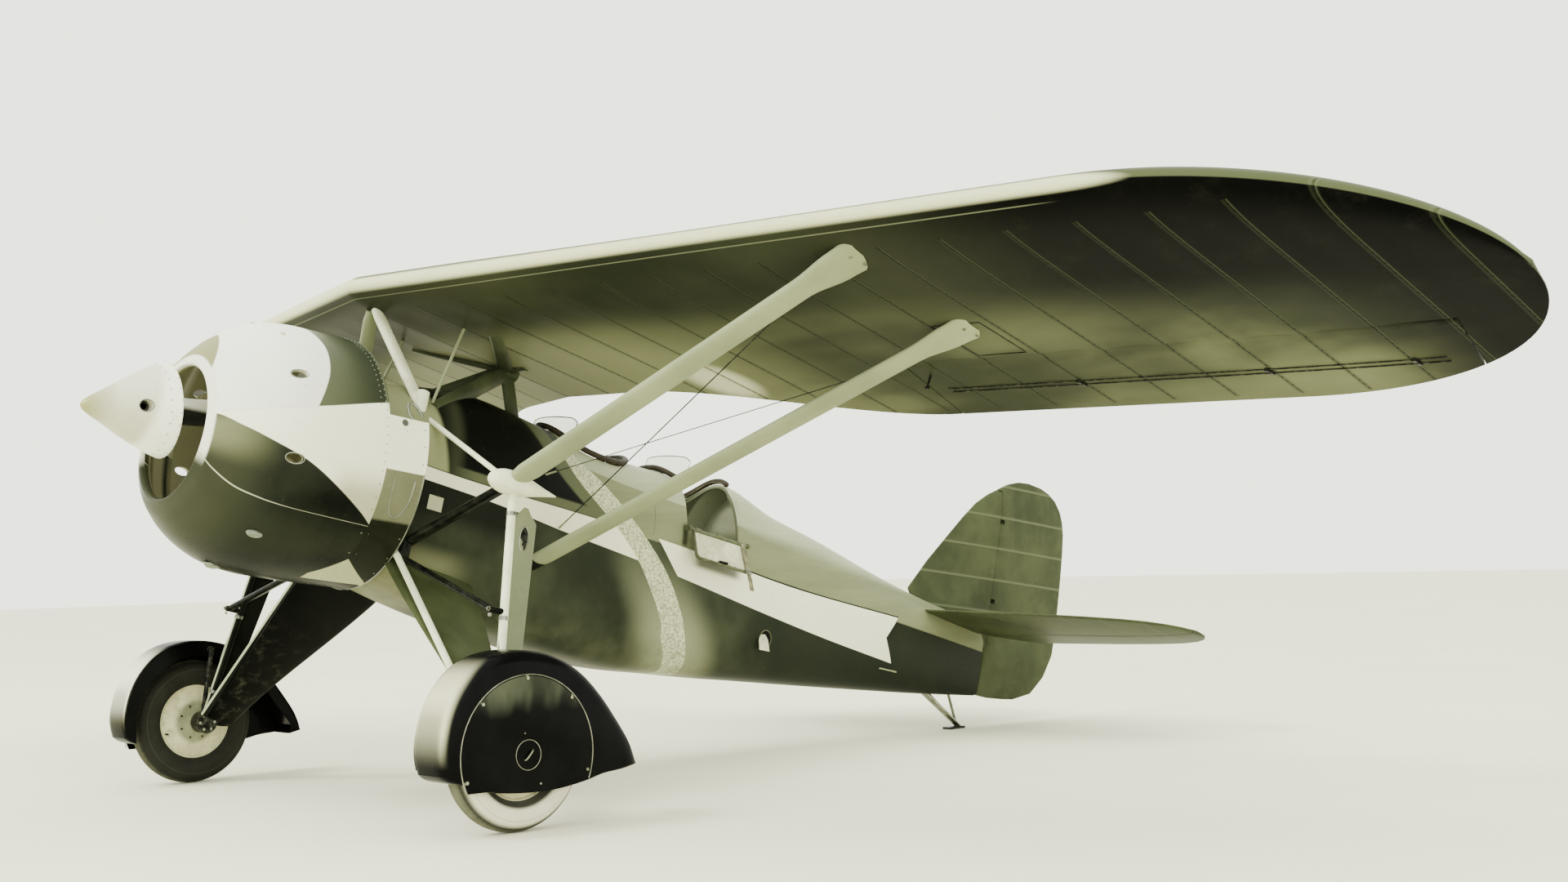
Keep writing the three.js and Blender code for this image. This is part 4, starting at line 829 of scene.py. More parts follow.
def cowl_bumps():
    parts = []
    for angle in (140, 180, -140):
        middle, out = from_cowl(angle, 315, -6)
        out = unit(out)
        along = np.array((0, 1, 0.0))
        across = np.cross(out, along)
        rings = []
        for share, lift in ((1, 0), (0.96, 10), (0.8, 19), (0.5, 25), (0.1, 27)):
            rings.append(middle + out * lift + spokes(full_turn(28), along * 42 * share, across * 21 * share))
        parts.append(loft(rings))
    return parts


piece("cowl_bumps", cowl, cowl_bumps(), LIGHT_METAL)

rivets = []
for y, first in ((778, 0), (804, 1.6)):
    rivets += [from_cowl(angle, y) for angle in np.arange(-67 + first, 68, 3.2)]
for angle in (*range(70, 99, 4), 104, 110, *range(116, 249, 12)):
    rivets.append(from_cowl(angle, 806))
piece("cowl_rivets", cowl, domes(rivets, 4.2), LIGHT_METAL)


# The fixed band behind the ring, with its rolled rear edge, bead and latch
def band_shape():
    rings = []
    for angle in np.linspace(SKIRT_OPEN, 360 - SKIRT_OPEN, 108):
        t = math.radians(angle)
        section = [(SKIRT_FRONT, 632), (SKIRT_FRONT + 70, 631), (SKIRT_BACK - 22, 628.5),
                   (SKIRT_BACK - 12, 632),
                   (SKIRT_BACK - 4, 632.5), (SKIRT_BACK, 629), (SKIRT_BACK, 617), (SKIRT_BACK - 40, 616),
                   (SKIRT_FRONT, 620)]
        rings.append(np.array([(r * math.sin(t), y, r * math.cos(t)) for y, r in section]))
    return loft(rings)


piece("cowl_band", cowl, band_shape(), COWL, replaces=("cowl_skirt",), crease=30)


def band_path(side, rows, lift=0.0):
    reach = 630 + lift
    turns = [(math.radians(side * angle), y) for angle, y in rows]
    return in_cowl([(math.sin(t) * reach, y, math.cos(t) * reach) for t, y in turns])


BEAD = [(100, 880), (108, 882), (114, 892), (117.5, 915), (117.5, 950), (114, 975), (108, 990), (100, 996)]
PIPE = [(70.5, 1002), (66.5, 978), (64.5, 945), (66.5, 922), (70.5, 928), (72, 946)]
ROLLED_EDGE = [(angle, SKIRT_BACK - 8) for angle in np.linspace(96, 178, 30)]
beads, pipes, screws = [], [], []
for side in (1, -1):
    beads.append(tube(curve_through(band_path(side, BEAD), 40), 4.5, 8))
    beads.append(tube(band_path(side, ROLLED_EDGE, 1.5), 3.4, 8))
    pipes.append(tube(curve_through(band_path(side, PIPE, 12), 30), 7, 10))
    latch = rod(on_cowl(side * 74.5, 905, -3), on_cowl(side * 74.5, 905, 6), 17, sides=24)
    pipes.append(placed(in_cowl, latch))
    for angle in (76, 84, *range(92, 177, 12)):
        screws += [from_cowl(side * angle, y, 1) for y in (846, 1022)]
piece("band_beads", metres, beads, LIGHT_METAL)
piece("band_pipes", metres, pipes, LIGHT_METAL)
piece("band_screws", cowl, domes(screws, 4.0), LIGHT_METAL)


# Engine with finned cylinders, rods, heads and stays
CYLINDER_PLANE = 400


def clocked(shape, turn):
    p = np.asarray(shape[0], float).copy()
    x, z = p[:, 0].copy(), p[:, 2].copy()
    p[:, 0] = x * math.cos(turn) + z * math.sin(turn)
    p[:, 2] = z * math.cos(turn) - x * math.sin(turn)
    return p, shape[1]


def upright_lathe(profile, segments=28):
    points, faces = turned([(up, r) for r, up in profile], segments)
    points = points[:, (0, 2, 1)].copy()
    points[:, 1] += CYLINDER_PLANE
    return points, faces


ENGINE_CASE = [(180, 0.5), (180, 68), (196, 92), (250, 128), (262, 150), (276, 190), (300, 213), (318, 214),
               (324, 206), (480, 206), (486, 214), (520, 214), (600, 202), (640, 190), (672, 156), (700, 120),
               (862, 118), (862, 0.5)]


def at_plane(x, y, z):
    return x, CYLINDER_PLANE + y, z


def cylinder():
    fins = [(0, 150), (71, 150), (71, 196)]
    for k in range(13):
        up = 204 + k * 16
        r = 84 if up < 290 else 95
        fins += [(67, up), (r, up + 5), (r, up + 8), (67, up + 11)]
    fins += [(68, 415), (86, 420), (84, 430), (66, 439), (0, 440)]
    parts = [upright_lathe(fins, 26)]
    for x in (-34, 34):
        parts.append(rod(at_plane(x, -98, 205), at_plane(x * 1.25, -70, 415), 8, sides=12))
        parts.append(rod(at_plane(x * 1.25, -80, 408), at_plane(x * 1.1, -10, 438), 19, 16, sides=16))
    parts.append(rod(at_plane(0, -88, 350), at_plane(0, -108, 350), 13, sides=6))
    return merged(*parts)


# a stay reaches from each head to the cowl, whose axis lies lower than the shaft's here
def stay_reach(turn):
    down, inside = 147.5, 614
    return math.sqrt(inside ** 2 - (down * math.sin(turn)) ** 2) - down * math.cos(turn) + 5


def engine_shape():
    parts = [turned(ENGINE_CASE, 72)]
    for i in range(9):
        turn = 2 * math.pi * i / 9
        parts.append(clocked(cylinder(), turn))
        stay = rod(at_plane(0, 0, 400), at_plane(0, 0, stay_reach(turn)), 13, sides=16)
        parts.append(clocked(stay, turn))
    for i in range(18):
        turn = 2 * math.pi * (i + 0.5) / 18
        for r, y in ((172, 268), (110, 224)):
            parts.append(clocked(bolt((0, y, r), (0, -1, 0.35), 8, 9), turn))
    return merged(*parts)


# the engine's light metal is painted paler still, as painted light inside the cowl
ENGINE = worn_paint("engine_metal", (0.90, 0.88, 0.68), (0.66, 0.64, 0.46), roughness=0.3, metallic=0.15,
                    scale=12, dust=0.2)
piece("engine_block", shaft, engine_shape(), ENGINE, replaces=("engine",), crease=30)


# Spinner, with the empty round holes that the blades would leave
SPINNER = [(-452, 0.5), (-450.5, 7), (-446, 15), (-436, 26), (-412, 44), (-330, 92), (-252, 140),
           (-170, 184), (-90, 221.5),
           (-66, 230), (-58, 232), (-55, 230), (-55, 224), (-60, 216), (-60, 84), (-50, 66), (179.7, 66),
           (179.7, 0.5)]
BLADE_AXIS, BLADE_SOCKET = -205, 27


def spinner_material():
    g = Graph("spinner_metal", metallic=0.2, coat=0.1, coat_roughness=0.12)
    x, s, h = g.nose()
    s = s + h * -math.sin(SHAFT_DROOP)
    blotch = g.noise(3.5, 4, 0.55)
    grain = g.noise(150, 2, 0.6)
    rings = g.noise(40, 2, 0.5, (0.05, 1, 0.05))
    cone = g.mix(blotch.rise(0.3, 0.7), (0.68, 0.67, 0.54), (0.80, 0.79, 0.66))
    tip = s.rise(-0.45, -0.31).inverse()
    cone = g.mix(tip * 0.9, cone, (0.50, 0.50, 0.26))
    base = g.mix(s.rise(-0.19, -0.13), cone, (0.94, 0.94, 0.86))
    boss = s.rise(-0.06, -0.05) * (x * x + h * h).rise(0.008, 0.012).inverse()
    base = g.mix(boss, base, (0.12, 0.12, 0.085))
    stain = g.noise(14, 5, 0.7).rise(0.55, 0.8) * 0.4
    base = g.mix(stain, base, (0.36, 0.36, 0.25))
    rough = grain * 0.12 + rings * 0.1 + blotch * 0.14 + 0.14
    return g.coat(base, rough, rings * 0.4 + blotch, 0.0008, 0.25)


spinner = closed_object("spinner_shell", turned(SPINNER, 128), spinner_material())
blade_hole = rod((-400, BLADE_AXIS, 0), (400, BLADE_AXIS, 0), BLADE_SOCKET + 0.3, sides=48)
boolean(spinner, [closed_object("blade_hole", blade_hole)])
to_frame(spinner, shaft)
settle(spinner, "propeller", ("spinner",), 28)


def spinner_trim():
    trim = []
    cone_y, cone_r = zip(*SPINNER[:11])
    for side in (1, -1):
        path = []
        for t in np.arange(49) * 2 * math.pi / 48:
            y, z = BLADE_AXIS + 29 * math.cos(t), 29 * math.sin(t)
            path.append((side * math.sqrt(np.interp(y, cone_y, cone_r) ** 2 - z * z), y, z))
        trim.append(tube(path, 2.6, 8))
    screws = []
    for k in range(24):
        t = 2 * math.pi * (k + 0.5) / 24
        for y, r in ((-104, 216), (-62, 231)):
            screws.append(((r * math.sin(t), y, r * math.cos(t)), (math.sin(t), -0.4, math.cos(t))))
    return trim + [domes(screws, 3.6)]


piece("spinner_trim", shaft, spinner_trim(), LIGHT_METAL, "propeller")
HUB = worn_paint("hub_steel", (0.10, 0.10, 0.085), (0.17, 0.17, 0.14), roughness=0.35, metallic=0.9,
                 scale=25, dust=0.2)
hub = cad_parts["propeller_hub"]
hub.data.materials.clear()
hub.data.materials.append(HUB)


# Wing: swept parasol panels with round tips, covered ribs and ailerons on pins
SPAN, CHORD, WING_THICKNESS, CAMBER = 10670, 2000, 236, 66
SWEEP, DIHEDRAL, LEAD_RISE = math.tan(math.radians(11.2)), math.tan(math.radians(1.33)), 0.0165
INCIDENCE = math.radians(6.4)
WING_NOSE_Y, WING_NOSE_Z = 747, 872
TIP_LENGTH, TRAILING_EDGE = 1350, 8
CUTOUT_DEPTH, CUTOUT_INNER, CUTOUT_OUTER = 500, 500, 2150
WING_END = SPAN / 2 - TIP_LENGTH * (1 - math.sin(math.radians(89.3)))
RIB_PITCH = 305
AILERON_INNER, AILERON_OUTER, AILERON_HINGE, AILERON_NOSE = 2300, 4900, 1372, 72
STRUT_STATION, FRONT_SPAR, REAR_SPAR = 2880, 250, 1020


def wing_section(fraction, thickness, camber):
    f = np.clip(fraction, 0, 1)
    rounded = 0.2969 * np.sqrt(f) - 0.126 * f - 0.3516 * f ** 2 + 0.2843 * f ** 3 - 0.1036 * f ** 4
    half = thickness / 0.2 * rounded
    bow = np.where(f < 0.4, camber / 0.16 * (0.8 * f - f * f), camber / 0.36 * (0.2 + 0.8 * f - f * f))
    return bow + half + TRAILING_EDGE / 2 * f, bow - half - TRAILING_EDGE / 2 * f


def planform(x):
    span = abs(x)
    start = SPAN / 2 - TIP_LENGTH
    full = math.sqrt(max(0, 1 - ((span - start) / TIP_LENGTH) ** 2)) if span > start else 1
    t = min(max((span - CUTOUT_INNER) / (CUTOUT_OUTER - CUTOUT_INNER), 0), 1)
    gone = CUTOUT_DEPTH * (1 - t * t * (3 - 2 * t))
    middle = span * SWEEP + CHORD / 2
    return middle - CHORD / 2 * full, middle + CHORD / 2 * full - gone, full


def wing_point(x, aft, height):
    x, aft, height = np.broadcast_arrays(np.asarray(x, float), aft, height)
    swept = np.abs(x) * SWEEP
    local = aft - swept
    c, s = math.cos(INCIDENCE), math.sin(INCIDENCE)
    y = WING_NOSE_Y + swept + local * c + height * s
    lift = np.abs(x) * (DIHEDRAL + LEAD_RISE * (1 - local / CHORD))
    return np.stack([x, y, WING_NOSE_Z + lift + height * c - local * s], -1)


def rib_dip(x):
    t = (abs(x) / RIB_PITCH) % 1
    return math.sin(math.pi * t) ** 2


CHORD_STEPS = 0.5 - 0.5 * np.cos(np.linspace(0, math.pi, 58))


def wing_ring(x, sag=3.5, grow=0.0):
    lead, trail, full = planform(x)
    chord = trail - lead
    fullness = max(full, 0.12)
    f = CHORD_STEPS
    upper, lower = wing_section(f, WING_THICKNESS * fullness, CAMBER * fullness)
    cover = np.clip((f - 0.1) / 0.12, 0, 1) * np.clip((1 - f) / 0.12, 0, 1) * sag * rib_dip(x) * fullness
    top = wing_point(x, lead + f * chord, upper + grow - cover)
    bottom = wing_point(x, lead + f * chord, lower - grow + cover * 0.8)
    return np.concatenate([top, bottom[1:-1][::-1]])


def wing_rows(start, end):
    tip_start = SPAN / 2 - TIP_LENGTH
    inner = np.arange(start, min(end, tip_start), 43.571)
    outer = tip_start + TIP_LENGTH * np.sin(np.radians(np.linspace(0, 89.3, 46)))
    rows = np.concatenate([inner, outer[outer > start + 1], [end]])
    return np.unique(np.round(rows[rows <= end], 3))


def hinge_ends(side):
    ends = []
    for x in (AILERON_INNER, AILERON_OUTER):
        upper, lower = wing_section(AILERON_HINGE / CHORD, WING_THICKNESS, CAMBER)
        ends.append(wing_point(side * x, x * SWEEP + AILERON_HINGE, (upper + lower) / 2))
    return ends


def aileron_space(side, nose_radius, clearance):
    inner, outer = hinge_ends(side)
    along = unit(outer - inner)
    aft = unit(np.array((0, 1, 0)) - along * along[1])
    up = unit(np.cross(aft, along) * -side)
    rings = []
    turns = np.radians(np.linspace(90, 270, 19))
    for p in (inner - along * clearance, outer + along * clearance):
        ring = [p + aft * nose_radius * math.cos(t) + up * nose_radius * math.sin(t) for t in turns]
        ring += [p + aft * 900 - up * (nose_radius + 200), p + aft * 900 + up * nose_radius]
        rings.append(np.array(ring))
    return loft(rings)


def aileron_pins(side, radius, inside):
    inner, outer = hinge_ends(side)
    along = unit(outer - inner)
    return [rod(end - inward * 18, end + inward * inside, radius, sides=24)
            for end, inward in ((inner, along), (outer, -along))]


def wing_half(side):
    return loft([wing_ring(side * x) for x in wing_rows(450, WING_END)])


def wing_frame(g):
    x, s, h = g.level()
    out = x.abs()
    return x, s, h, out, s - out * SWEEP - WING_NOSE_Y / 1000


def wing_material():
    g = Graph("wing_fabric", coat=0.0, coat_roughness=0.25, specular=0.02)
    x, s, h, out, aft = wing_frame(g)
    below = g.facing()[2].rise(-0.1, 0.1).inverse()
    blotch = g.noise(1.1, 4, 0.6)
    cloud = g.noise(0.55, 3, 0.55, (1, 2.2, 1))
    grain = g.noise(170, 2, 0.6)
    rib = ((out * (1000 / RIB_PITCH)) + 0.5).fraction()
    rib_line = ((rib - 0.5).abs() * RIB_PITCH)
    covered = aft.rise(0.19, 0.20) * aft.rise(1.93, 1.95).inverse()
    tape = rib_line.rise(13, 16).inverse() * covered
    stitch = rib_line.rise(3.0, 5.0).inverse() * covered
    knots = (s * 22).fraction().within(0.2, 0.62, 0.08)
    under = g.mix(cloud.rise(0.35, 0.66), (0.15, 0.155, 0.092), (0.31, 0.315, 0.195))
    under = g.mix(blotch.rise(0.5, 0.8) * 0.5, under, (0.40, 0.405, 0.26))
    inner = out.rise(0.7, 2.2).inverse() * aft.rise(0.45, 0.75)
    under = g.mix(inner * 0.75, under, (0.47, 0.475, 0.31))
    fore = (aft - out * 0.12).rise(0.25, 0.95).inverse()
    under = g.mix(fore * 0.8, under, (0.10, 0.105, 0.062))
    shade = out.rise(2.4, 4.0) * (aft - out * 0.10).rise(0.25, 0.75).inverse()
    under = g.mix(shade * 0.97, under, (0.02, 0.02, 0.014))
    tip = out.rise(4.3, 5.0)
    under = g.mix(tip * 0.97, under, (0.02, 0.02, 0.014))
    # painted reflection: a soft bright spot on the underside near the root
    spot = (((out - 1.15) * 4.6).math("POWER", 2.0) + ((aft - 1.4) * 3.2).math("POWER", 2.0)).rise(0.1,
            1.0).inverse()
    under = g.mix(spot * 0.7, under, (0.90, 0.90, 0.74))
    over = g.mix(blotch.rise(0.25, 0.75), (0.225, 0.238, 0.135), (0.258, 0.272, 0.157))
    base = g.mix(below, over, under)
    base = g.mix(tape * 0.35, base, g.mix(below, (0.30, 0.31, 0.19), (0.13, 0.14, 0.075)))
    base = g.mix(stitch * (knots * 0.4 + 0.5), base, g.mix(below, (0.16, 0.17, 0.09), (0.035, 0.038, 0.02)))
    shine = (rib_line - 7.5).abs().rise(1.2, 2.6).inverse() * covered * (rib - 0.5).rise(-0.001, 0.001)
    base = g.mix(shine * 0.28, base, g.mix(below, (0.34, 0.35, 0.22), (0.32, 0.33, 0.21)))
    # painted highlight along the rounded leading edge
    edge_highlight = aft.rise(0.004, 0.03).inverse()
    base = g.mix(edge_highlight * 0.9, base, (0.80, 0.81, 0.60))
    edge_seam = aft.within(0.058, 0.064, 0.002) * out.rise(3.8, 4.0).inverse()
    base = g.mix(edge_seam * 0.45, base, (0.50, 0.51, 0.36))
    dust = g.noise(7, 5, 0.7).rise(0.5, 0.8) * 0.3
    base = g.mix(dust * (below.inverse() * 0.5 + 0.15), base, (0.29, 0.295, 0.19))
    rough = grain * 0.1 + blotch * 0.2 + 0.24
    edge = rib_line.rise(11, 15).inverse() * covered
    return g.coat(base, rough, edge * 0.9 + stitch * knots * 1.2 + grain * 0.12, 0.0012, 0.6)


def cover(obj, name, node, body="airframe"):
    obj.name = name
    to_frame(obj, level)
    settle(obj, body, (node,), 38)


WING = wing_material()
for name, side in SIDES:
    half = closed_object("half", wing_half(side), WING)
    boolean(half, [closed_object("gap", aileron_space(side, AILERON_NOSE + 8, 8))])
    boolean(half, [closed_object("pin", pin) for pin in aileron_pins(side, 9, 18)], "UNION")
    cover(half, "wing_panel_" + name, "wing_" + name)
    flap = closed_object("flap", wing_half(side), WING)
    boolean(flap, [closed_object("room", aileron_space(side, AILERON_NOSE, 0))], "INTERSECT")
    boolean(flap, [closed_object("bore", bore) for bore in aileron_pins(side, 9.6, 24)])
    cover(flap, "aileron_flap_" + name, "aileron_" + name, "aileron_" + name)
centre = loft([wing_ring(x) for x in np.linspace(-450, 450, 23)])
piece("wing_middle", level, centre, WING, replaces=("wing_centre",), crease=38)


# Tail surfaces with ribs showing through the cover
TAIL_THICKNESS, EDGE, TAILPLANE_Z = 64, 14, 112
ELEVATOR_HINGE, RUDDER_HINGE, FIN_TOP = 5960, 6045, 1118
VERTICAL = [(-330, 5990, 6150, 0.55), (-300, 5900, 6400, 0.6), (-220, 5800, 6600, 0.7),
            (-80, 5600, 6720, 1), (90, 5350, 6790, 1),
            (245, 5208, 6796, 1), (470, 5362, 6792, 1), (681, 5529, 6784, 1), (850, 5664, 6772, 1),
            (974, 5774, 6756, 0.9),
            (1060, 5880, 6730, 0.8), (1130, 5990, 6690, 0.6), (1190, 6090, 6625, 0.45),
            (1228, 6190, 6540, 0.3), (1246, 6290, 6450, 0.2)]
HORIZONTAL = [(20, 5290, 6390, 1), (400, 5335, 6390, 1), (900, 5420, 6375, 1), (1250, 5500, 6345, 1),
              (1480, 5570, 6300, 0.9),
              (1620, 5640, 6240, 0.75), (1715, 5720, 6170, 0.5), (1770, 5810, 6090, 0.3),
              (1790, 5890, 6020, 0.2)]
RUDDER_LUGS = (330, 900)


def tail_ring(at, lead, trail, full, hinge, place, count=30):
    f = 0.5 - 0.5 * np.cos(np.linspace(0, math.pi, count))
    y = lead + f * (trail - lead)
    reach = np.where(y < hinge, hinge - lead, trail - hinge)
    away = np.minimum(1, np.abs(y - hinge) / np.maximum(reach, 1))
    thick = np.maximum(EDGE + full * (TAIL_THICKNESS - EDGE) * (1 - away ** 1.7), EDGE)
    round_end = np.sqrt(np.clip(1 - (1 - np.minimum(f, 1 - f) * (trail - lead) / 8) ** 2, 0.04, 1))
    round_end = np.where(np.minimum(f, 1 - f) * (trail - lead) > 8, 1, round_end)
    half = thick * round_end / 2
    upper = [place(at, a, b) for a, b in zip(y, half)]
    lower = [place(at, a, -b) for a, b in zip(y, half)]
    return np.array(upper + lower[::-1])


def tail_rows(table, count):
    rows = []
    for at in np.linspace(table[0][0], table[-1][0], count):
        k = min(max(sum(1 for row in table if row[0] <= at) - 1, 0), len(table) - 2)
        t = (at - table[k][0]) / (table[k + 1][0] - table[k][0])
        rows.append((at, *(table[k][j] + (table[k + 1][j] - table[k][j]) * t for j in (1, 2, 3))))
    return rows


def tail_material():
    g = Graph("tail_fabric", coat=0.02, coat_roughness=0.25)
    x, s, h = g.level()
    blotch = g.noise(2.4, 4, 0.6)
    grain = g.noise(170, 2, 0.6)
    base = g.mix(blotch.rise(0.3, 0.7), (0.16, 0.172, 0.09), (0.225, 0.24, 0.13))
    high = h.rise(0.14, 0.16)
    slope = (s - 6.045) * 0.12
    fin_rib = (((h - slope) * 4.45 + 0.35).fraction() - 0.5).abs()
    fin_line = (fin_rib * 225).rise(5, 8).inverse() * high
    fin_tape = (fin_rib * 225).rise(12, 15).inverse() * high
    flat_rib = ((x.abs() * 3.9 + 0.2).fraction() - 0.5).abs()
    flat_line = (flat_rib * 256).rise(12, 15).inverse() * high.inverse()
    base = g.mix(fin_line * 0.75, base, (0.34, 0.35, 0.22))
    base = g.mix(fin_tape.most(flat_line) * 0.3, base, (0.24, 0.25, 0.15))
    dust = g.noise(9, 5, 0.7).rise(0.5, 0.8) * 0.3
    base = g.mix(dust, base, (0.30, 0.30, 0.19))
    rough = grain * 0.1 + blotch * 0.2 + 0.3
    return g.coat(base, rough, fin_tape.most(flat_line) + grain * 0.12, 0.0012, 0.6)


TAIL = tail_material()


def tail_shape(table, count, hinge, place):
    rings = [tail_ring(*row, hinge, place) for row in tail_rows(table, count)]
    return closed_object("surface", loft(rings), TAIL)


def upright_tail():
    def place(at, y, off):
        return off, y, at
    return tail_shape(VERTICAL, 88, RUDDER_HINGE, place)


def flat_tail(side):
    def place(at, y, off):
        return side * at, y, TAILPLANE_Z + off
    return tail_shape(HORIZONTAL, 90, ELEVATOR_HINGE, place)


# room for a surface: round ahead of its hinge and square behind it
def swing_outline(radius, length, half):
    turns = np.radians(np.linspace(90, 270, 17))
    return [(radius * math.cos(t), radius * math.sin(t)) for t in turns] + [(length, -half), (length, half)]


def rudder_space(radius):
    outline = swing_outline(radius, 1155, 200)
    return closed_object("space",
                         loft([[(b, RUDDER_HINGE + a, z) for a, b in outline] for z in (-600, 1400)]))


def elevator_space(radius):
    outline = swing_outline(radius, 1040, 100)
    rings = [[(x, ELEVATOR_HINGE + a, TAILPLANE_Z + b) for a, b in outline] for x in (-2000, 2000)]
    return closed_object("space", loft(rings))


def over_fin(low):
    return closed_object("over", block((-200, 5800, low), (200, RUDDER_HINGE + 5, 1400)))


def grown_body():
    return closed_object("hull", loft([body_ring(y, 64, 0.4) for y in np.linspace(5100, 6000.4, 24)]))


def rudder_swing(half):
    wide = half + 560 * math.tan(math.radians(27))
    port = [(half, 5800), (half, RUDDER_HINGE - 40), (wide, 6600)]
    outline = [(-half, 5800), *port, (-wide, 6600), (-half, RUDDER_HINGE - 40)]
    return closed_object("swing", loft([[(a, b, z) for a, b in outline] for z in (-60, 300)]))


def at_hinge(z, half, radius, sides):
    return rod((0, RUDDER_HINGE, z - half), (0, RUDDER_HINGE, z + half), radius, sides=sides)


NEAR, CLEAR = TAIL_THICKNESS / 2 + 1, TAIL_THICKNESS / 2 + 7
rudder = upright_tail()
space = rudder_space(NEAR)
boolean(space, [over_fin(FIN_TOP)], "UNION")
boolean(rudder, [space], "INTERSECT")
notches = []
for z in RUDDER_LUGS:
    notches.append(closed_object("notch", at_hinge(z, 16, 38, 40)))
    notches.append(closed_object("bore", at_hinge(z, 36, 7.6, 24)))
boolean(rudder, notches)
cover(rudder, "rudder_cover", "rudder", "rudder")

fin = upright_tail()
boolean(fin, [closed_object("above", block((-200, 5000, 0), (200, 7000, 1500)))], "INTERSECT")
boolean(fin, [rudder_space(CLEAR), over_fin(FIN_TOP - 8), grown_body()])
cover(fin, "fin_cover", "fin")
lugs = []
for z in RUDDER_LUGS:
    lugs.append(block((-8, RUDDER_HINGE - 60, z - 9), (8, RUDDER_HINGE, z + 9)))
    lugs.append(at_hinge(z, 30, 7, 24))
piece("fin_lugs", level, lugs, DARK_METAL)

for name, side in SIDES:
    half = flat_tail(side)
    boolean(half, [elevator_space(NEAR)], "INTERSECT")
    boolean(half, [rudder_swing(75)])
    cover(half, "elevator_cover_" + name, "elevator", "elevator")
    front = flat_tail(side)
    fin_room = closed_object("fin_room", block((-NEAR, 5000, 0), (NEAR, 7000, 300)))
    boolean(front, [elevator_space(CLEAR), grown_body(), fin_room])
    cover(front, "stabiliser_cover_" + name, "stabiliser_" + name)
elevator_tube = rod((-240, ELEVATOR_HINGE, TAILPLANE_Z), (240, ELEVATOR_HINGE, TAILPLANE_Z), 16, sides=32)
piece("elevator_tube", level, elevator_tube, DARK_METAL, "elevator", replaces=("elevator",))


# Struts and undercarriage
APEX = np.array((1167, 1200, -135))
LEG_FITTING = np.array((1302, 1140, -760))
REAR_STRUT_FOOT = np.array((400, 1900, -370))
TRACK, WHEEL_RADIUS, TYRE_WIDTH, RIM_RADIUS = 3180, 345, 150, 205
SPAT_INNER, SPAT_OUTER, SPAT_WALL, WHEEL_SPACE, LEG_FOOT = 1478, 1706, 18, 372, 1440
LIGHT_STRUT = worn_paint("strut_paint", (0.50, 0.52, 0.35), (0.42, 0.44, 0.29), roughness=0.34, scale=2.2,
                         dust=0.2)
PLATE_PAINT = worn_paint("plate_paint", (0.42, 0.435, 0.29), (0.35, 0.365, 0.24), roughness=0.34, scale=2.2,
                         dust=0.2)
WHITE_PAINT = worn_paint("white_paint", (0.90, 0.91, 0.76), (0.78, 0.79, 0.62), roughness=0.28, scale=5,
                         dust=0.12)
DARK_STRUT = worn_paint("dark_paint", (0.030, 0.034, 0.020), (0.06, 0.066, 0.040), roughness=0.32, coat=0.0,
                        scale=4, dust=0.05)
CABANE_PAINT = worn_paint("cabane_paint", (0.22, 0.235, 0.13), (0.13, 0.14, 0.078), roughness=0.36,
                          coat=0.0, scale=3, dust=0.1)


# The starboard legs carry painted shade on the side that faces the body, with a pale front edge
def far_leg_material():
    g = Graph("far_leg_paint_and_shade", coat=0.0, specular=0.04)
    across, ahead, _ = g.facing()
    blotch = g.noise(3.0, 4, 0.55)
    grain = g.noise(170, 2, 0.6)
    dark = g.mix(blotch.rise(0.3, 0.7), (0.035, 0.038, 0.024), (0.07, 0.075, 0.046))
    pale = g.mix(blotch.rise(0.3, 0.7), (0.50, 0.52, 0.38), (0.62, 0.64, 0.48))
    # painted shade on the faces that turn towards the body
    inward = across.rise(-0.3, 0.1) * ahead.rise(-0.95, -0.8)
    base = g.mix(inward, pale, dark)
    return g.coat(base, grain * 0.12 + blotch * 0.16 + 0.2, grain * 0.3 + blotch, 0.001, 0.3)


# Glossy black, with a painted highlight on its front faces and a painted reflection high on the port spat's
# outer panel
def gloss_material():
    g = Graph("spat_black", coat=0.02, coat_roughness=0.08, specular=0.03)
    ahead = g.facing()[1]
    blotch = g.noise(3.5, 4, 0.55)
    grain = g.noise(210, 2, 0.6)
    base = g.mix(blotch.rise(0.35, 0.7), (0.03, 0.028, 0.022), (0.05, 0.048, 0.038))
    front_half = (g.split(g.place)[1] - AXLE_Y).rise(-0.25, -0.05).inverse()
    # painted highlight on the front faces, faded towards the bottom, with a painted glint
    sheen = ahead.rise(-0.85, -0.3).inverse() * (ahead.rise(-1.0, -0.84) * 0.6 + 0.4) * front_half
    x, y, z = g.split(g.place)
    sheen = sheen * z.rise(0.31, 0.50)
    glint = ((y - AXLE_Y) * -0.6 + z).rise(0.62, 0.72)
    pale = g.mix(x.rise(-0.1, 0.1), g.mix(glint, (0.50, 0.48, 0.30), (0.92, 0.92, 0.80)), (0.80, 0.80, 0.62))
    base = g.mix(sheen * 0.85, base, pale)
    marks = g.noise(18, 5, 0.7).rise(0.66, 0.8) * 0.25
    base = g.mix(marks, base, (0.20, 0.20, 0.14))
    # painted reflection: grey streaks high on the outer face of the port spat
    reflection_streaks = g.noise(5, 2, 0.5, (1, 1.6, 0.6)).rise(0.3, 0.65)
    panel_reflection = x.rise(1.7062, 1.7068) * (z + reflection_streaks * 0.03).rise(0.53, 0.66) * (reflection_streaks * 0.55 + 0.25)
    base = g.mix(panel_reflection, base, (0.26, 0.27, 0.18))
    return g.coat(base, blotch * 0.12 + grain * 0.08 + 0.14, grain * 0.2 + blotch, 0.001, 0.2)


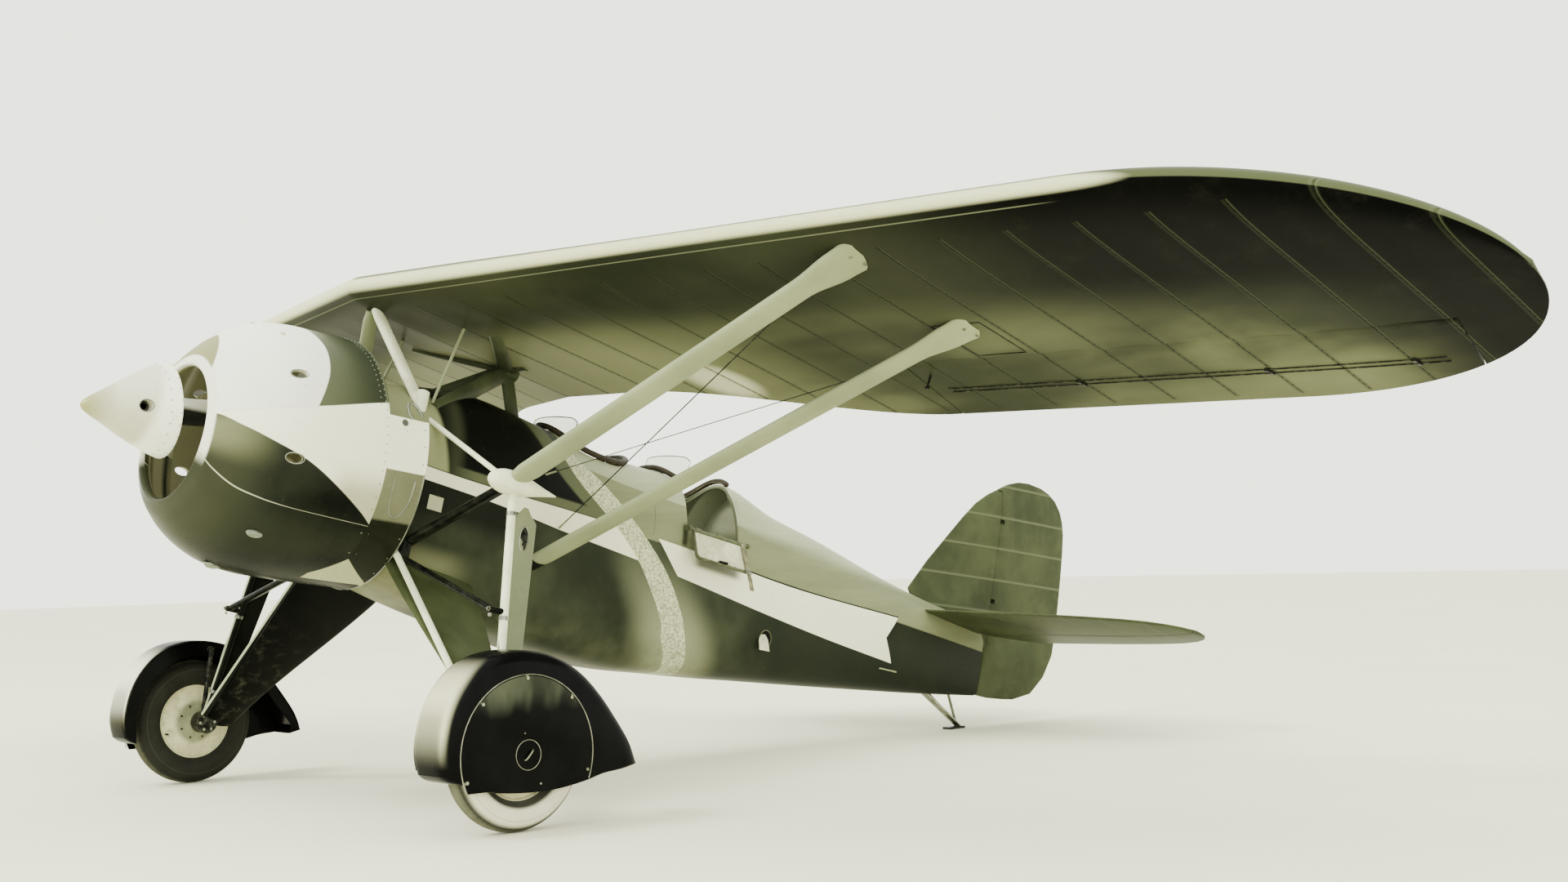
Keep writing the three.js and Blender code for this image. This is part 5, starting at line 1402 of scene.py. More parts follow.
GLOSS = gloss_material()
FAR_LEG = far_leg_material()
BRIGHT = worn_paint("bright_bolt", (0.55, 0.55, 0.44), (0.38, 0.38, 0.28), roughness=0.3, metallic=0.9,
                    scale=20)


def mirrored(side, point):
    return np.asarray(point, float) * (side, 1, 1)


def underside(x, from_lead):
    lead, trail, full = planform(x)
    lower = wing_section(from_lead / (trail - lead), WING_THICKNESS * full, CAMBER * full)[1]
    return wing_point(x, lead + from_lead, lower)


def lift_strut(side, foot, from_lead, chord, thick):
    top = underside(side * STRUT_STATION, from_lead)
    foot = mirrored(side, foot)
    end = top + unit(top - foot) * 60
    reach = np.linalg.norm(end - foot)
    sections = [(0.0, chord * 0.62, thick, 0), (120 / reach, chord, thick, 0),
                (1 - 330 / reach, chord, thick, 0),
                (1 - 120 / reach, chord * 1.55, thick * 1.1, chord * 0.1),
                (1.0, chord * 1.72, thick * 1.18, chord * 0.14)]
    return strut(foot, end, eased(sections, 60), sides=44), top


def wing_lift_struts(name, side):
    for key, foot, from_lead, chord, thick in (
        ("front", APEX, FRONT_SPAR, 140, 52),
        ("rear", REAR_STRUT_FOOT, REAR_SPAR, 128, 46),
    ):
        shape, top = lift_strut(side, foot, from_lead, chord, thick)
        node = f"lift_strut_{key}_{name}"
        piece(node + "_fairing", level, shape, LIGHT_STRUT, replaces=(node,), crease=50)
        bolts = []
        for along in (-46, 46):
            for across in (-1, 1):
                at = top + (side * across * 34, along + 22, -4 - 0.28 * abs(along))
                bolts.append(bolt(at, (0, 0, -1), 6, 6))
        piece(node + "_bolts", level, bolts, BRIGHT)
    foot = mirrored(side, REAR_STRUT_FOOT)
    cuff = strut(foot, foot + unit(top - foot) * 90, [(0.0, 100, 60, 0), (1.0, 116, 54, 0)])
    piece(f"rear_strut_cuff_{name}", level, cuff, DARK_STRUT)


def cabane():
    for name, side in SIDES:
        foot = np.array((side * 330.0, 1120, 300))
        head = underside(0, 190) + np.array((side * 22.0, 0, 6))
        leg = strut(foot, head, eased([(0, 60, 34), (0.08, 78, 34), (0.9, 78, 34), (1, 58, 40)], 26),
                    sides=32)
        shoe = rod((side * 330, 1120, 250), (side * 330, 1120, 372), 34, sides=32)
        cap = domes([((side * 330, 1120, 372), (0, 0, 1))], 33, 0.35, 32)
        piece("cabane_front_leg_" + name, level, [leg, shoe, cap], WHITE_PAINT if side > 0 else LIGHT_STRUT,
              replaces=("cabane_front_" + name,), crease=45)
    node = np.array((0.0, 1800, 716))
    arms = []
    for side in (1, -1):
        arms.append(bar((side * 318, 1215, 300), node, 96, 36, (0, 0.4, -1)))
        arms.append(bar(node, underside(side * 400, 620) + (0, 0, 8), 84, 34))
        arms.append(bar(node, underside(side * 120, 1080) + (0, 0, 8), 60, 30))
    arms.append(bar((0, 1925, 410), node, 84, 34))
    arms.append(rod(node + (0, -60, 0), node + (0, 60, 0), 40, sides=32))
    arms.append(bolt(node + (0, -60, 0), (0, -1, 0), 14, 12))
    arms.append(bolt(node + (0, 60, 0), (0, 1, 0), 14, 12))
    for side in (1, -1):
        arms.append(bolt(node + (side * 20, -60, 22), (0, -1, 0), 6, 6))
    piece("cabane_pyramid", level, arms, CABANE_PAINT, replaces=("cabane_rear",),
          crease=45)


def hub_point(side, across):
    return to_level([(side * across, 0, WHEEL_RADIUS)])[0]


BULLET = [(-130, 0.5), (-128, 9), (-122, 24), (-90, 47), (-30, 60), (60, 52), (170, 25), (258, 4), (262, 0.5)]


def undercarriage(name, side):
    apex = mirrored(side, APEX)
    fitting = mirrored(side, LEG_FITTING)
    points, faces = turned(curve_through(BULLET, 60), 56)
    piece("bullet_" + name, level, (points + apex, faces), WHITE_PAINT, crease=60)
    upper = bar((side * 330, 1165, 250), apex, 34, 26, sides=28)
    piece("upper_stay_" + name, level, upper, WHITE_PAINT, crease=60)
    lower = bar((side * 330, 1145, -455), apex, 72, 36, sides=32)
    third = bar((side * 330, 1145, -470), fitting, 46, 30, sides=28)
    root = rod((side * 425, 1135, -410), (side * 425, 1135, -500), 34, sides=32)
    lug = rod(fitting + (0, -24, 0), fitting + (0, 52, 0), 16, sides=24)
    piece("frame_" + name, level, [lower, third, root, lug], DARK_STRUT,
          replaces=("gear_frame_" + name,), crease=50)
    shine = [bolt(fitting + (side * 6, -26, 0), (0, -1, 0), 9, 11),
             bolt(fitting + (side * 4, -14, -26), (side * 0.7, -0.7, 0), 7, 9)]
    shine.append(bolt(mirrored(side, (425, 1100, -440)), (0, -1, 0), 8, 8))
    shine.append(bolt(mirrored(side, (425, 1100, -470)), (0, -1, 0), 8, 8))
    foot = hub_point(side, LEG_FOOT)
    tube_start = apex + (0, 12, 0)
    leg_tube = rod(tube_start, foot, 21, sides=40)
    piece("leg_tube_" + name, level, leg_tube, WHITE_PAINT if side > 0 else FAR_LEG,
          replaces=("gear_leg_" + name,))
    collars = []
    for share in (0.12, 0.52, 0.86):
        at = tube_start + (foot - tube_start) * share
        step = unit(foot - tube_start) * 9
        collars.append(rod(at - step, at + step, 24.5, sides=36))
    piece("leg_collars_" + name, level, collars, LIGHT_METAL)
    start = tube_start + (foot - tube_start) * 0.08 + (0, 84, 0)
    sections = eased([(0.0, 26, 12), (0.06, 136, 22), (0.3, 136, 25), (0.62, 136, 26), (1.0, 44, 22)], 40)
    plate = strut(start, foot + (0, 22, 30), sections, sides=40)
    piece("leg_plate_" + name, level, plate, PLATE_PAINT if side > 0 else FAR_LEG,
          crease=55)
    along = unit(foot - start)
    out = np.cross(along, (0, 1, 0))
    out *= side * np.sign(out[0]) / np.linalg.norm(out)
    eye = start + (foot - start) * 0.135

    def oval(lift, long, wide, turns):
        return eye + out * lift + spokes(turns, along * long, np.array((0, wide, 0)))

    for sign in (1, -1):
        shine.append(tube(oval(sign * 12.5, 62, 25, np.linspace(0, 2 * math.pi, 37)), 3.5, 8))
    well_parts = [loft([oval(sign * 12.9, 60, 23.5, full_turn(36)) for sign in (-1, 1)])]
    for k in (-30, 0, 30):
        well_parts.append(rod(eye + along * k - out * 17, eye + along * k + out * 17, 8, sides=20))
    piece("leg_eye_" + name, level, well_parts, DARK_METAL)

    front = mirrored(side, (307, 1092, -383)), hub_point(side, LEG_FOOT) + (0, -24, 0)
    rear = mirrored(side, (300, 1580, -570)), hub_point(side, LEG_FOOT) + (0, 170, 20)
    middle = [(f + r) / 2 for f, r in zip(front, rear)]
    chords = [np.linalg.norm(f - r) for f, r in zip(front, rear)]
    blade = strut(*middle, eased([(0, chords[0], 56), (1, chords[1], 44)], 16), sides=64)
    piece("broad_leg_" + name, level, blade, BROAD_LEG, replaces=("axle_leg_" + name,),
          crease=70)
    piece("broad_leg_edge_" + name, level, rod(*front, 17.5, sides=28), WHITE_PAINT if side > 0 else FAR_LEG)
    axle_parts = [rod(hub_point(side, LEG_FOOT - 50), hub_point(side, 1474), 60, sides=48),
                  rod(hub_point(side, LEG_FOOT), hub_point(side, SPAT_OUTER - SPAT_WALL - 0.3), 26, sides=36)]
    arm = to_level([(side * across, 60, WHEEL_RADIUS + 402) for across in (1458, SPAT_INNER - 0.3)])
    axle_parts.append(rod(hub_point(side, 1458), arm[0], 13, sides=24))
    axle_parts.append(rod(*arm, 20, sides=24))
    circle = [(side * (LEG_FOOT - 51), 42 * math.cos(t), WHEEL_RADIUS + 42 * math.sin(t))
              for t in full_turn(6)]
    shine += [bolt(at, (-side, 0, 0), 6, 6) for at in to_level(circle)]
    piece("axle_" + name, level, axle_parts, DARK_METAL)
    piece("gear_bolts_" + name, level, shine, BRIGHT)


def broad_leg_material():
    g = Graph("broad_leg_paint", coat=0.0, coat_roughness=0.2, specular=0.03)
    x, s, h = g.level()
    blotch = g.noise(2.4, 4, 0.55)
    grain = g.noise(150, 2, 0.6)
    # the far broad leg is near-black as painted shade; the near one is olive
    near = x.rise(-0.1, 0.1)
    olive = g.mix(blotch.rise(0.3, 0.7), (0.165, 0.178, 0.09), (0.24, 0.255, 0.14))
    dark = g.mix(blotch.rise(0.3, 0.7), (0.016, 0.019, 0.010), (0.034, 0.038, 0.020))
    base = g.mix(near, dark, olive)
    splash = g.noise(14, 5, 0.7).rise(0.5, 0.78) * h.rise(-1.3, -0.7).inverse() * 0.16
    base = g.mix(splash, base, DUST)
    return g.coat(base, grain * 0.12 + blotch * 0.16 + 0.2, grain * 0.3 + blotch, 0.001, 0.3)


BROAD_LEG = broad_leg_material()

SPAT_OUTLINE = [(-430, -60), (-446, 20), (-438, 110), (-408, 210), (-352, 305), (-268, 388), (-160, 440),
                (-40, 458),
                (95, 446), (220, 405), (330, 335), (425, 240), (510, 130), (590, 10), (632, -95)]
SPAT_LOWER = [(632, -95), (560, -110), (450, -120), (330, -145), (180, -163), (0, -165), (-180, -150),
              (-300, -115), (-390, -88), (-430, -60)]


def spat_ring(side, x, inset):
    upper = curve_through(SPAT_OUTLINE, 90)
    lower = curve_through(SPAT_LOWER, 60)[1:-1]
    outline = np.concatenate([upper, lower])
    keep = 1 - inset
    up = np.where(outline[:, 1] > 0, outline[:, 1] * keep, outline[:, 1])
    return np.stack([np.full(len(outline), side * x), outline[:, 0] * keep, WHEEL_RADIUS + up], 1)


def spat(name, side):
    sections = [(SPAT_INNER, 0.03), (SPAT_INNER + 5, 0.014), (SPAT_INNER + 14, 0.005), (SPAT_INNER + 34, 0),
                (SPAT_OUTER - 80, 0),
                (SPAT_OUTER - 50, 0.004), (SPAT_OUTER - 30, 0.015), (SPAT_OUTER - 16, 0.036),
                (SPAT_OUTER - 6, 0.072), (SPAT_OUTER, 0.12)]
    shell = closed_object("spat", loft([spat_ring(side, x, inset) for x, inset in sections]), GLOSS)
    low, high = side * (SPAT_INNER - 30), side * (SPAT_OUTER - SPAT_WALL)
    hollow = rod((low, 0, WHEEL_RADIUS), (high, 0, WHEEL_RADIUS), WHEEL_SPACE, sides=120)
    near, far = min(low, high), max(low, high)
    mouth = block((near, -WHEEL_SPACE, WHEEL_RADIUS - 400), (far, WHEEL_SPACE, WHEEL_RADIUS))
    outline = [(300, -200), (300, 200), (420, 130), (560, -60), (540, -200)]
    tail = loft([[(x, a, WHEEL_RADIUS + b) for a, b in outline] for x in (low, side * (SPAT_OUTER - 40))])
    boolean(shell, [closed_object("space", shape) for shape in (hollow, mouth, tail)])
    shell.name = "spat_shell_" + name
    to_frame(shell, standing)
    settle(shell, replaces=("spat_" + name,), crease=32)
    panel_radius = 352
    face = SPAT_OUTER + 0.6
    trim = []
    turns = np.radians(np.linspace(-22, 202, 90))
    arc = [(side * face, panel_radius * math.cos(t), WHEEL_RADIUS + panel_radius * math.sin(t))
           for t in turns]
    trim.append(tube(arc, 2.6, 8))
    hub_ring = [(side * face, 66 * math.cos(t), WHEEL_RADIUS + 66 * math.sin(t))
                for t in np.linspace(0, 2 * math.pi, 49)]
    trim.append(tube(hub_ring, 1.8, 8))
    grip = [(side * (face + 1), -20, WHEEL_RADIUS - 22), (side * (face + 9), -12, WHEEL_RADIUS - 15),
            (side * (face + 9), 15, WHEEL_RADIUS + 14), (side * (face + 1), 22, WHEEL_RADIUS + 22)]
    trim.append(tube(curve_through(grip, 16), 4, 10))
    for a, b, r in ((0.0, 335, 9), (-235, 236, 9), (238, 236, 9), (-322, -92, 9), (318, -92, 8),
                    (60, -130, 5), (-20, 96, 4)):
        at = np.array((side * (face - 1), a, WHEEL_RADIUS + b))
        trim.append(bolt(at, (side, 0, 0), r, 7))
    piece("spat_trim_" + name, standing, trim, BRIGHT)
    rim = spat_ring(side, SPAT_INNER + 2, 0.02)[2:88]
    piece("spat_bead_" + name, standing, tube(rim, 4.5, 8), GLOSS)
    panel = []
    rows = np.radians(np.linspace(-24, 204, 80))
    lower_edge = -146
    for x, inset in ((face - 3, 0), (face - 0.4, 0), (face + 0.6, 5)):
        ring = []
        for t in rows:
            r = panel_radius - 6 - inset
            ring.append((side * x, r * math.cos(t), WHEEL_RADIUS + max(r * math.sin(t), lower_edge + inset)))
        panel.append(np.array(ring))
    piece("spat_panel_" + name, standing, loft(panel), GLOSS)


def wheel_turned(side, profile, segments=96):
    points, faces = turned(profile, segments, closed=True)
    points = np.stack([side * TRACK / 2 + points[:, 1], points[:, 0], WHEEL_RADIUS + points[:, 2]], 1)
    return points, faces


TREAD_BLOCKS = 72


def from_axle(y, z):
    return ((y - AXLE_Y) * (y - AXLE_Y) + (z - AXLE_Z) * (z - AXLE_Z)).math("SQRT")


def tyre_material():
    g = Graph("tyre_rubber", roughness=0.85)
    x, y, z = g.split(g.place)
    across = (x.abs() - TRACK / 2000).abs()
    radius = from_axle(y, z)
    grain = g.noise(120, 3, 0.6)
    blotch = g.noise(9, 4, 0.6)
    near = x.rise(-0.1, 0.1)
    rubber = g.mix(blotch, (0.13, 0.128, 0.092), (0.22, 0.215, 0.155))
    # painted shade: the far tyre is darker
    rubber = g.mix(near.inverse() * 0.6, rubber, (0.06, 0.06, 0.044))
    # the near tyre's outer sidewall is light: partly dust, partly painted sunlight
    dusty_sunlit_wall = radius.rise(0.228, 0.248) * radius.rise(0.306, 0.33).inverse() * x.rise(1.6, 1.62)
    base = g.mix(dusty_sunlit_wall * (blotch * 0.3 + 0.66), rubber, (0.90, 0.88, 0.74))
    # the tread is lighter with dust, more on the near tyre as painted sunlight
    tread = radius.rise(0.33, 0.343) * (near * 0.3 + 0.3) * blotch.rise(0.1, 0.65)
    base = g.mix(tread, base, (0.46, 0.45, 0.33))
    bead = radius.within(0.29, 0.294, 0.001) * 0.3
    base = g.mix(bead, base, (0.24, 0.235, 0.17))
    rough = grain * 0.2 + 0.68
    turn = (y - AXLE_Y).math("ARCTAN2", z - AXLE_Z) * (TREAD_BLOCKS / (2 * math.pi))
    block_line = (turn.fraction() - 0.5).abs().rise(0.36, 0.42) * across.rise(0.028, 0.034)
    block_line = block_line * radius.rise(0.322, 0.33)
    return g.coat(base, rough, grain * 0.2 - block_line, 0.004, 0.7)


DISH = [(88, 27), (88, 44), (84, 52), (73, 62), (60, 96), (48, 140), (37, 178), (33, 190), (36, 196),
        (45, 201), (45, RIM_RADIUS)]


def wheel(name, side):
    half = TYRE_WIDTH / 2
    outline = [(-half * 0.62, RIM_RADIUS + 0.3), (-half * 0.66, RIM_RADIUS + 10),
               (-half * 0.9, RIM_RADIUS + 30), (-half, RIM_RADIUS + 58),
               (-half * 0.97, RIM_RADIUS + 84), (-half * 0.82, RIM_RADIUS + 109),
               (-half * 0.56, RIM_RADIUS + 128), (-half * 0.26, 343.5), (0, 345)]
    left = curve_through(outline, 34)
    profile = np.concatenate([left, left[::-1][1:] * (-1, 1)])
    for centre in (-26, -9, 9, 26):
        close = np.abs(profile[:, 0] - centre) < 2.6
        profile[close & (profile[:, 1] > 325), 1] -= 3.5
    base = RIM_RADIUS + 0.3
    profile = np.concatenate([profile, [(half * 0.3, base), (-half * 0.3, base)]])
    piece("tyre_carcass_" + name, standing, wheel_turned(side, profile, 120), TYRE, "wheel_" + name,
          ("tyre_" + name,), 40)
    outer = curve_through(DISH, 50)
    inner = outer[::-1] * (-1, 1)
    dish = wheel_turned(side, np.concatenate([outer, inner]), 96)
    piece("wheel_dish_" + name, standing, dish, DISC, "wheel_" + name, ("wheel_" + name,), 40)
    extras = []
    for face in (1, -1):
        for t in full_turn(8) + math.pi / 8:
            at = (side * TRACK / 2 + face * 58.5, 92 * math.cos(t), WHEEL_RADIUS + 92 * math.sin(t))
            extras.append(bolt(at, (face, 0, 0), 6, 6))
    at = np.array((side * TRACK / 2 - side * 38.0, -172.0, WHEEL_RADIUS - 60))
    extras.append(rod(at, at + (-side * 26, 0, 0), 4.5, sides=14))
    extras.append(rod(at + (-side * 22, 0, 0), at + (-side * 34, 0, 0), 6.5, 5.5, sides=14))
    piece("wheel_bolts_" + name, standing, extras, DARK_METAL, "wheel_" + name)


def disc_material():
    g = Graph("cream_paint", coat=0.05, coat_roughness=0.2)
    _, y, z = g.split(g.place)
    radius = from_axle(y, z)
    blotch = g.noise(7, 4, 0.55)
    grain = g.noise(260, 2, 0.6)
    ring = g.mix(blotch.rise(0.3, 0.7), (0.80, 0.78, 0.58), (0.66, 0.64, 0.46))
    # painted shade in the hollow of the dish: its middle is darker olive
    middle = g.mix(blotch.rise(0.3, 0.7), (0.36, 0.37, 0.25), (0.50, 0.50, 0.35))
    base = g.mix(radius.rise(0.095, 0.135).inverse(), ring, middle)
    base = g.mix(g.noise(26, 4, 0.7).rise(0.45, 0.75) * 0.4, base, (0.30, 0.29, 0.19))
    return g.coat(base, grain * 0.12 + blotch * 0.15 + 0.3, grain * 0.3 + blotch, 0.001, 0.3)


TYRE = tyre_material()
DISC = disc_material()
cabane()
for name, side in SIDES:
    wing_lift_struts(name, side)
    undercarriage(name, side)
    spat(name, side)
    wheel(name, side)


# Cockpits: leather rolls, seats, panels, windscreens and the door
def leather_material():
    g = Graph("dark_leather", coat=0.1, coat_roughness=0.3)
    blotch = g.noise(7, 4, 0.6)
    creases = g.noise(90, 4, 0.7, (1, 2.5, 1))
    grain = g.noise(420, 2, 0.6)
    base = g.mix(blotch.rise(0.3, 0.7), (0.10, 0.085, 0.05), (0.17, 0.145, 0.09))
    base = g.mix(creases.rise(0.55, 0.75) * 0.5, base, (0.30, 0.27, 0.18))
    return g.coat(base, blotch * 0.2 + grain * 0.15 + 0.34, grain * 0.4 + creases, 0.0012, 0.6)


LEATHER = leather_material()
CREAM = worn_paint("cream_panel", (0.78, 0.78, 0.62), (0.64, 0.64, 0.48), roughness=0.42, coat=0.1, scale=8,
                   dust=0.4)
RIM = worn_paint("olive_rim", (0.30, 0.31, 0.18), (0.20, 0.21, 0.12), roughness=0.4, coat=0.15, scale=10,
                 dust=0.3)
STRAP = worn_paint("old_strap", (0.46, 0.44, 0.30), (0.24, 0.23, 0.14), roughness=0.7, coat=0.0, scale=22,
                   dust=0.5)
PANEL_Y = {"front": 2010, "rear": 2850}
SEAT_Y = {"front": 2360, "rear": 3200}
ROLL_RADIUS, ROLL_LIFT = 17, 20


def roll_frames(path):
    ahead = np.gradient(path, axis=0)
    ahead /= np.linalg.norm(ahead, axis=1)[:, None]
    out = np.cross(ahead, (0, 0, 1))
    out /= np.linalg.norm(out, axis=1)[:, None]
    return out, np.cross(out, ahead)


def coaming(name):
    first, last = COCKPITS[name][3:]
    turns = np.radians(np.linspace(first, last, 240))
    x, y = cockpit_edge(name, turns)
    path = np.array([(a, b, deck(a, b) + ROLL_LIFT) for a, b in zip(x, y)])
    for _ in range(6):
        path[1:-1] = (path[:-2] + path[1:-1] * 2 + path[2:]) / 4
    out, up = roll_frames(path)
    steps = np.linspace(0, 1, 240)
    ends = np.minimum(steps, 1 - steps) * 120
    radius = ROLL_RADIUS * np.sqrt(np.clip(1 - np.clip(1 - ends / 2.2, 0, 1) ** 2, 0.02, 1))
    radius = radius * (1 - 0.05 * np.abs(np.sin(steps * 46 * math.pi)) ** 0.5 * (ends > 2.5))
    rings = [path[k] + radius[k] * spokes(full_turn(22), out[k], up[k]) for k in range(240)]
    roll = piece(f"coaming_roll_{name}", level, loft(rings), LEATHER,
                 replaces=("coaming_" + name,), crease=60)
    seam = path[6:-6] - out[6:-6] * 15.0 - up[6:-6] * 9.0
    lacing = [tube(seam, 1.9, 7)]
    for k in range(9, 231, 4):
        start = path[k] - out[k] * 16.4 - up[k] * 3.0
        end = path[k + 1] - out[k + 1] * 13.0 - up[k + 1] * 13.0
        lacing.append(rod(start, end, 1.5, sides=6))
    piece(f"coaming_lacing_{name}", level, lacing, STRAP)


PAD_POINTS = 88


def pad_outline(half_x, half_y, inset):
    c, s = np.cos(full_turn(PAD_POINTS)), np.sin(full_turn(PAD_POINTS))
    x = (half_x - inset) * np.sign(c) * np.abs(c) ** 0.38
    y = (half_y - inset) * np.sign(s) * np.abs(s) ** 0.38
    return x, y


def pad_ring(half_x, half_y, inset, z):
    return np.stack([*pad_outline(half_x, half_y, inset), np.full(PAD_POINTS, float(z))], 1)


# Swells a cushion by cloth pressure, keeps its underside flat and sews its channels
def swollen_pad(half_x, half_y, half_z, cap):
    rings = []
    for up, inset in ((-1, 6), (-0.7, 2), (-0.2, 0), (0.2, 0), (0.7, 2), (1, 6)):
        rings.append(pad_ring(half_x, half_y, inset, half_z * up))
    pad = raw_object("pad", *placed(metres, loft(rings)))
    remesh = pad.modifiers.new("remesh", "REMESH")
    remesh.mode, remesh.voxel_size = "VOXEL", 0.006
    bake(pad)
    before = vertices_of(pad.data)
    cloth = pad.modifiers.new("cloth", "CLOTH")
    cloth.settings.use_pressure = True
    cloth.settings.uniform_pressure_force = 4
    cloth.settings.effector_weights.gravity = 0
    for step in range(1, SWELL_FRAMES + 1):
        bpy.context.scene.frame_set(step)
    bake(pad)
    bpy.context.scene.frame_set(1)
    move = vertices_of(pad.data) - before
    length = np.linalg.norm(move, axis=1)
    move *= np.minimum(1, cap / 1000 / np.maximum(length, 1e-9))[:, None]
    pad.data.vertices.foreach_set("co", (before + move).ravel())
    smoother = pad.modifiers.new("smooth", "SUBSURF")
    smoother.levels = 1
    bake(pad)
    points = vertices_of(pad.data) * 1000
    points[:, 2] = np.maximum(points[:, 2], -half_z)
    top = np.clip((points[:, 2] + half_z * 0.2) / half_z, 0, 1)
    for at in CHANNELS:
        points[:, 2] -= 6.0 * top * np.exp(-((points[:, 0] - at) / 6.0) ** 2)
    faces = [tuple(face.vertices) for face in pad.data.polygons]
    bpy.data.objects.remove(pad)
    return points, faces


def piping(half_x, half_y):
    path = pad_ring(half_x, half_y, -1.0, 0)
    return tube(np.concatenate([path, path[:1]]), 3.4, 8)


CHANNELS, SWELL_FRAMES = (-120, -60, 0, 60, 120), 20
BASE_PAD = swollen_pad(176, 186, 14, 12)
BACK_PAD = swollen_pad(172, 212, 9, 10)


def seat(name, y):
    foot, head = np.array((0.0, y + 190, -400)), np.array((0.0, y + 250, 60))
    up = unit(head - foot)
    ahead = np.array((0, -up[2], up[1]))

    def on_base(points):
        return points + (0, y, -391)

    def on_back(points):
        return foot + up * 250 + ahead * 3 + points @ np.array(((1, 0, 0), up, ahead))

    base_edge = ((-420, 4), (-418, 0), (-407, 0), (-405, 3))
    back_edge = ((-17, 4), (-15, 0), (-8, 0), (-6, 3))
    pan = loft([pad_ring(188, 198, inset, z) + (0, y, 0) for z, inset in base_edge])
    shell = loft([on_back(pad_ring(188, 228, inset, z)) for z, inset in back_edge])
    floor = max(station(y - 120)["bottom"], station(y + 120)["bottom"]) + SHELL + 2
    legs = [block((-120, y - 120, floor), (120, y + 120, floor + 14))]
    for a in (-95, 95):
        for b in (-95, 95):
            legs.append(rod((a, y + b, floor + 12), (a * 1.2, y + b * 1.2, -412), 13, sides=16))
    for b in (-105, 105):
        legs.append(rod((-105, y + b, -560), (105, y + b, -560), 9, sides=12))
    piece(f"seat_frame_{name}", level, [pan, shell, *legs], DARK_METAL,
          replaces=("seat_" + name,), crease=30)
    for key, place, pad, fill in (("base", on_base, BASE_PAD, 0.75), ("back", on_back, BACK_PAD, 0.7)):
        cushion = piece(f"seat_{key}_cushion_{name}", level, placed(place, pad), LEATHER, crease=60)
    trims = [placed(on_base, piping(180, 190)), placed(on_back, piping(176, 216))]
    piece(f"seat_piping_{name}", level, trims, LEATHER, crease=60)


# each dial: its place across, its drop below the panel's top and its radius
DIALS = ((0, 110, 48), (-118, 130, 40), (118, 130, 40), (-210, 175, 30), (210, 175, 30),
         (-60, 225, 36), (60, 225, 36), (0, 290, 22))


def instrument_panel(name, y):
    ring = body_ring(y, 160, -SHELL - 2)
    ring = ring[ring[:, 2] > 62]
    ring = ring[np.argsort(np.arctan2(ring[:, 2] - 62, ring[:, 0]))]
    plates = []
    for depth, inset in ((-9, 1.0), (7, 1.0), (9, 0.985)):
        flat = ring.copy()
        flat[:, 0] *= inset
        flat[:, 1] = y + depth
        plates.append(flat)
    piece(f"panel_plate_{name}", level, loft(plates), DARK_METAL,
          replaces=("panel_" + name,), crease=30)
    top = station(y)["top"] - SHELL
    rims, faces = [], []
    for across, drop, radius in DIALS:
        centre = np.array((across, y + 9.0, top - drop))
        turns = np.linspace(0, 2 * math.pi, 37)
        ring_path = [centre + (radius * math.cos(t), 3, radius * math.sin(t)) for t in turns]
        rims.append(tube(ring_path, 3.6, 8))
        faces.append(rod(centre - (0, 3, 0), centre + (0, 2.4, 0), radius - 1, sides=36))
        rims.append(rod(centre + (0, 2, 0), centre + (0, 4.5, 0), 3, sides=10))
        needle = centre + (radius * 0.5 * math.sin(across + drop), 3.4,
                           radius * 0.5 * math.cos(across + drop))
        rims.append(rod(centre + (0, 3.4, 0), needle, 1.3, 0.6, sides=6))
    piece(f"panel_rims_{name}", level, rims, LIGHT_METAL)
    piece(f"panel_dials_{name}", level, faces, GLOSS)


SCREEN_WIDTH, SCREEN_BOW, SCREEN_TOP, SCREEN_TAPER, SCREEN_LEAN = 270, 190, 545, 0.86, 82.5


def glass_material():
    g = Graph("clear_sheet", roughness=0.06, specular=0.3)
    g.shader.inputs["Transmission Weight"].default_value = 0.94
    g.shader.inputs["IOR"].default_value = 1.1
    smear = g.noise(11, 4, 0.6)
    sheet = g.mix(smear, (0.95, 0.96, 0.90), (0.84, 0.85, 0.76))
    return g.paint(sheet, smear.rise(0.45, 0.8) * 0.2 + 0.04)


GLASS = glass_material()


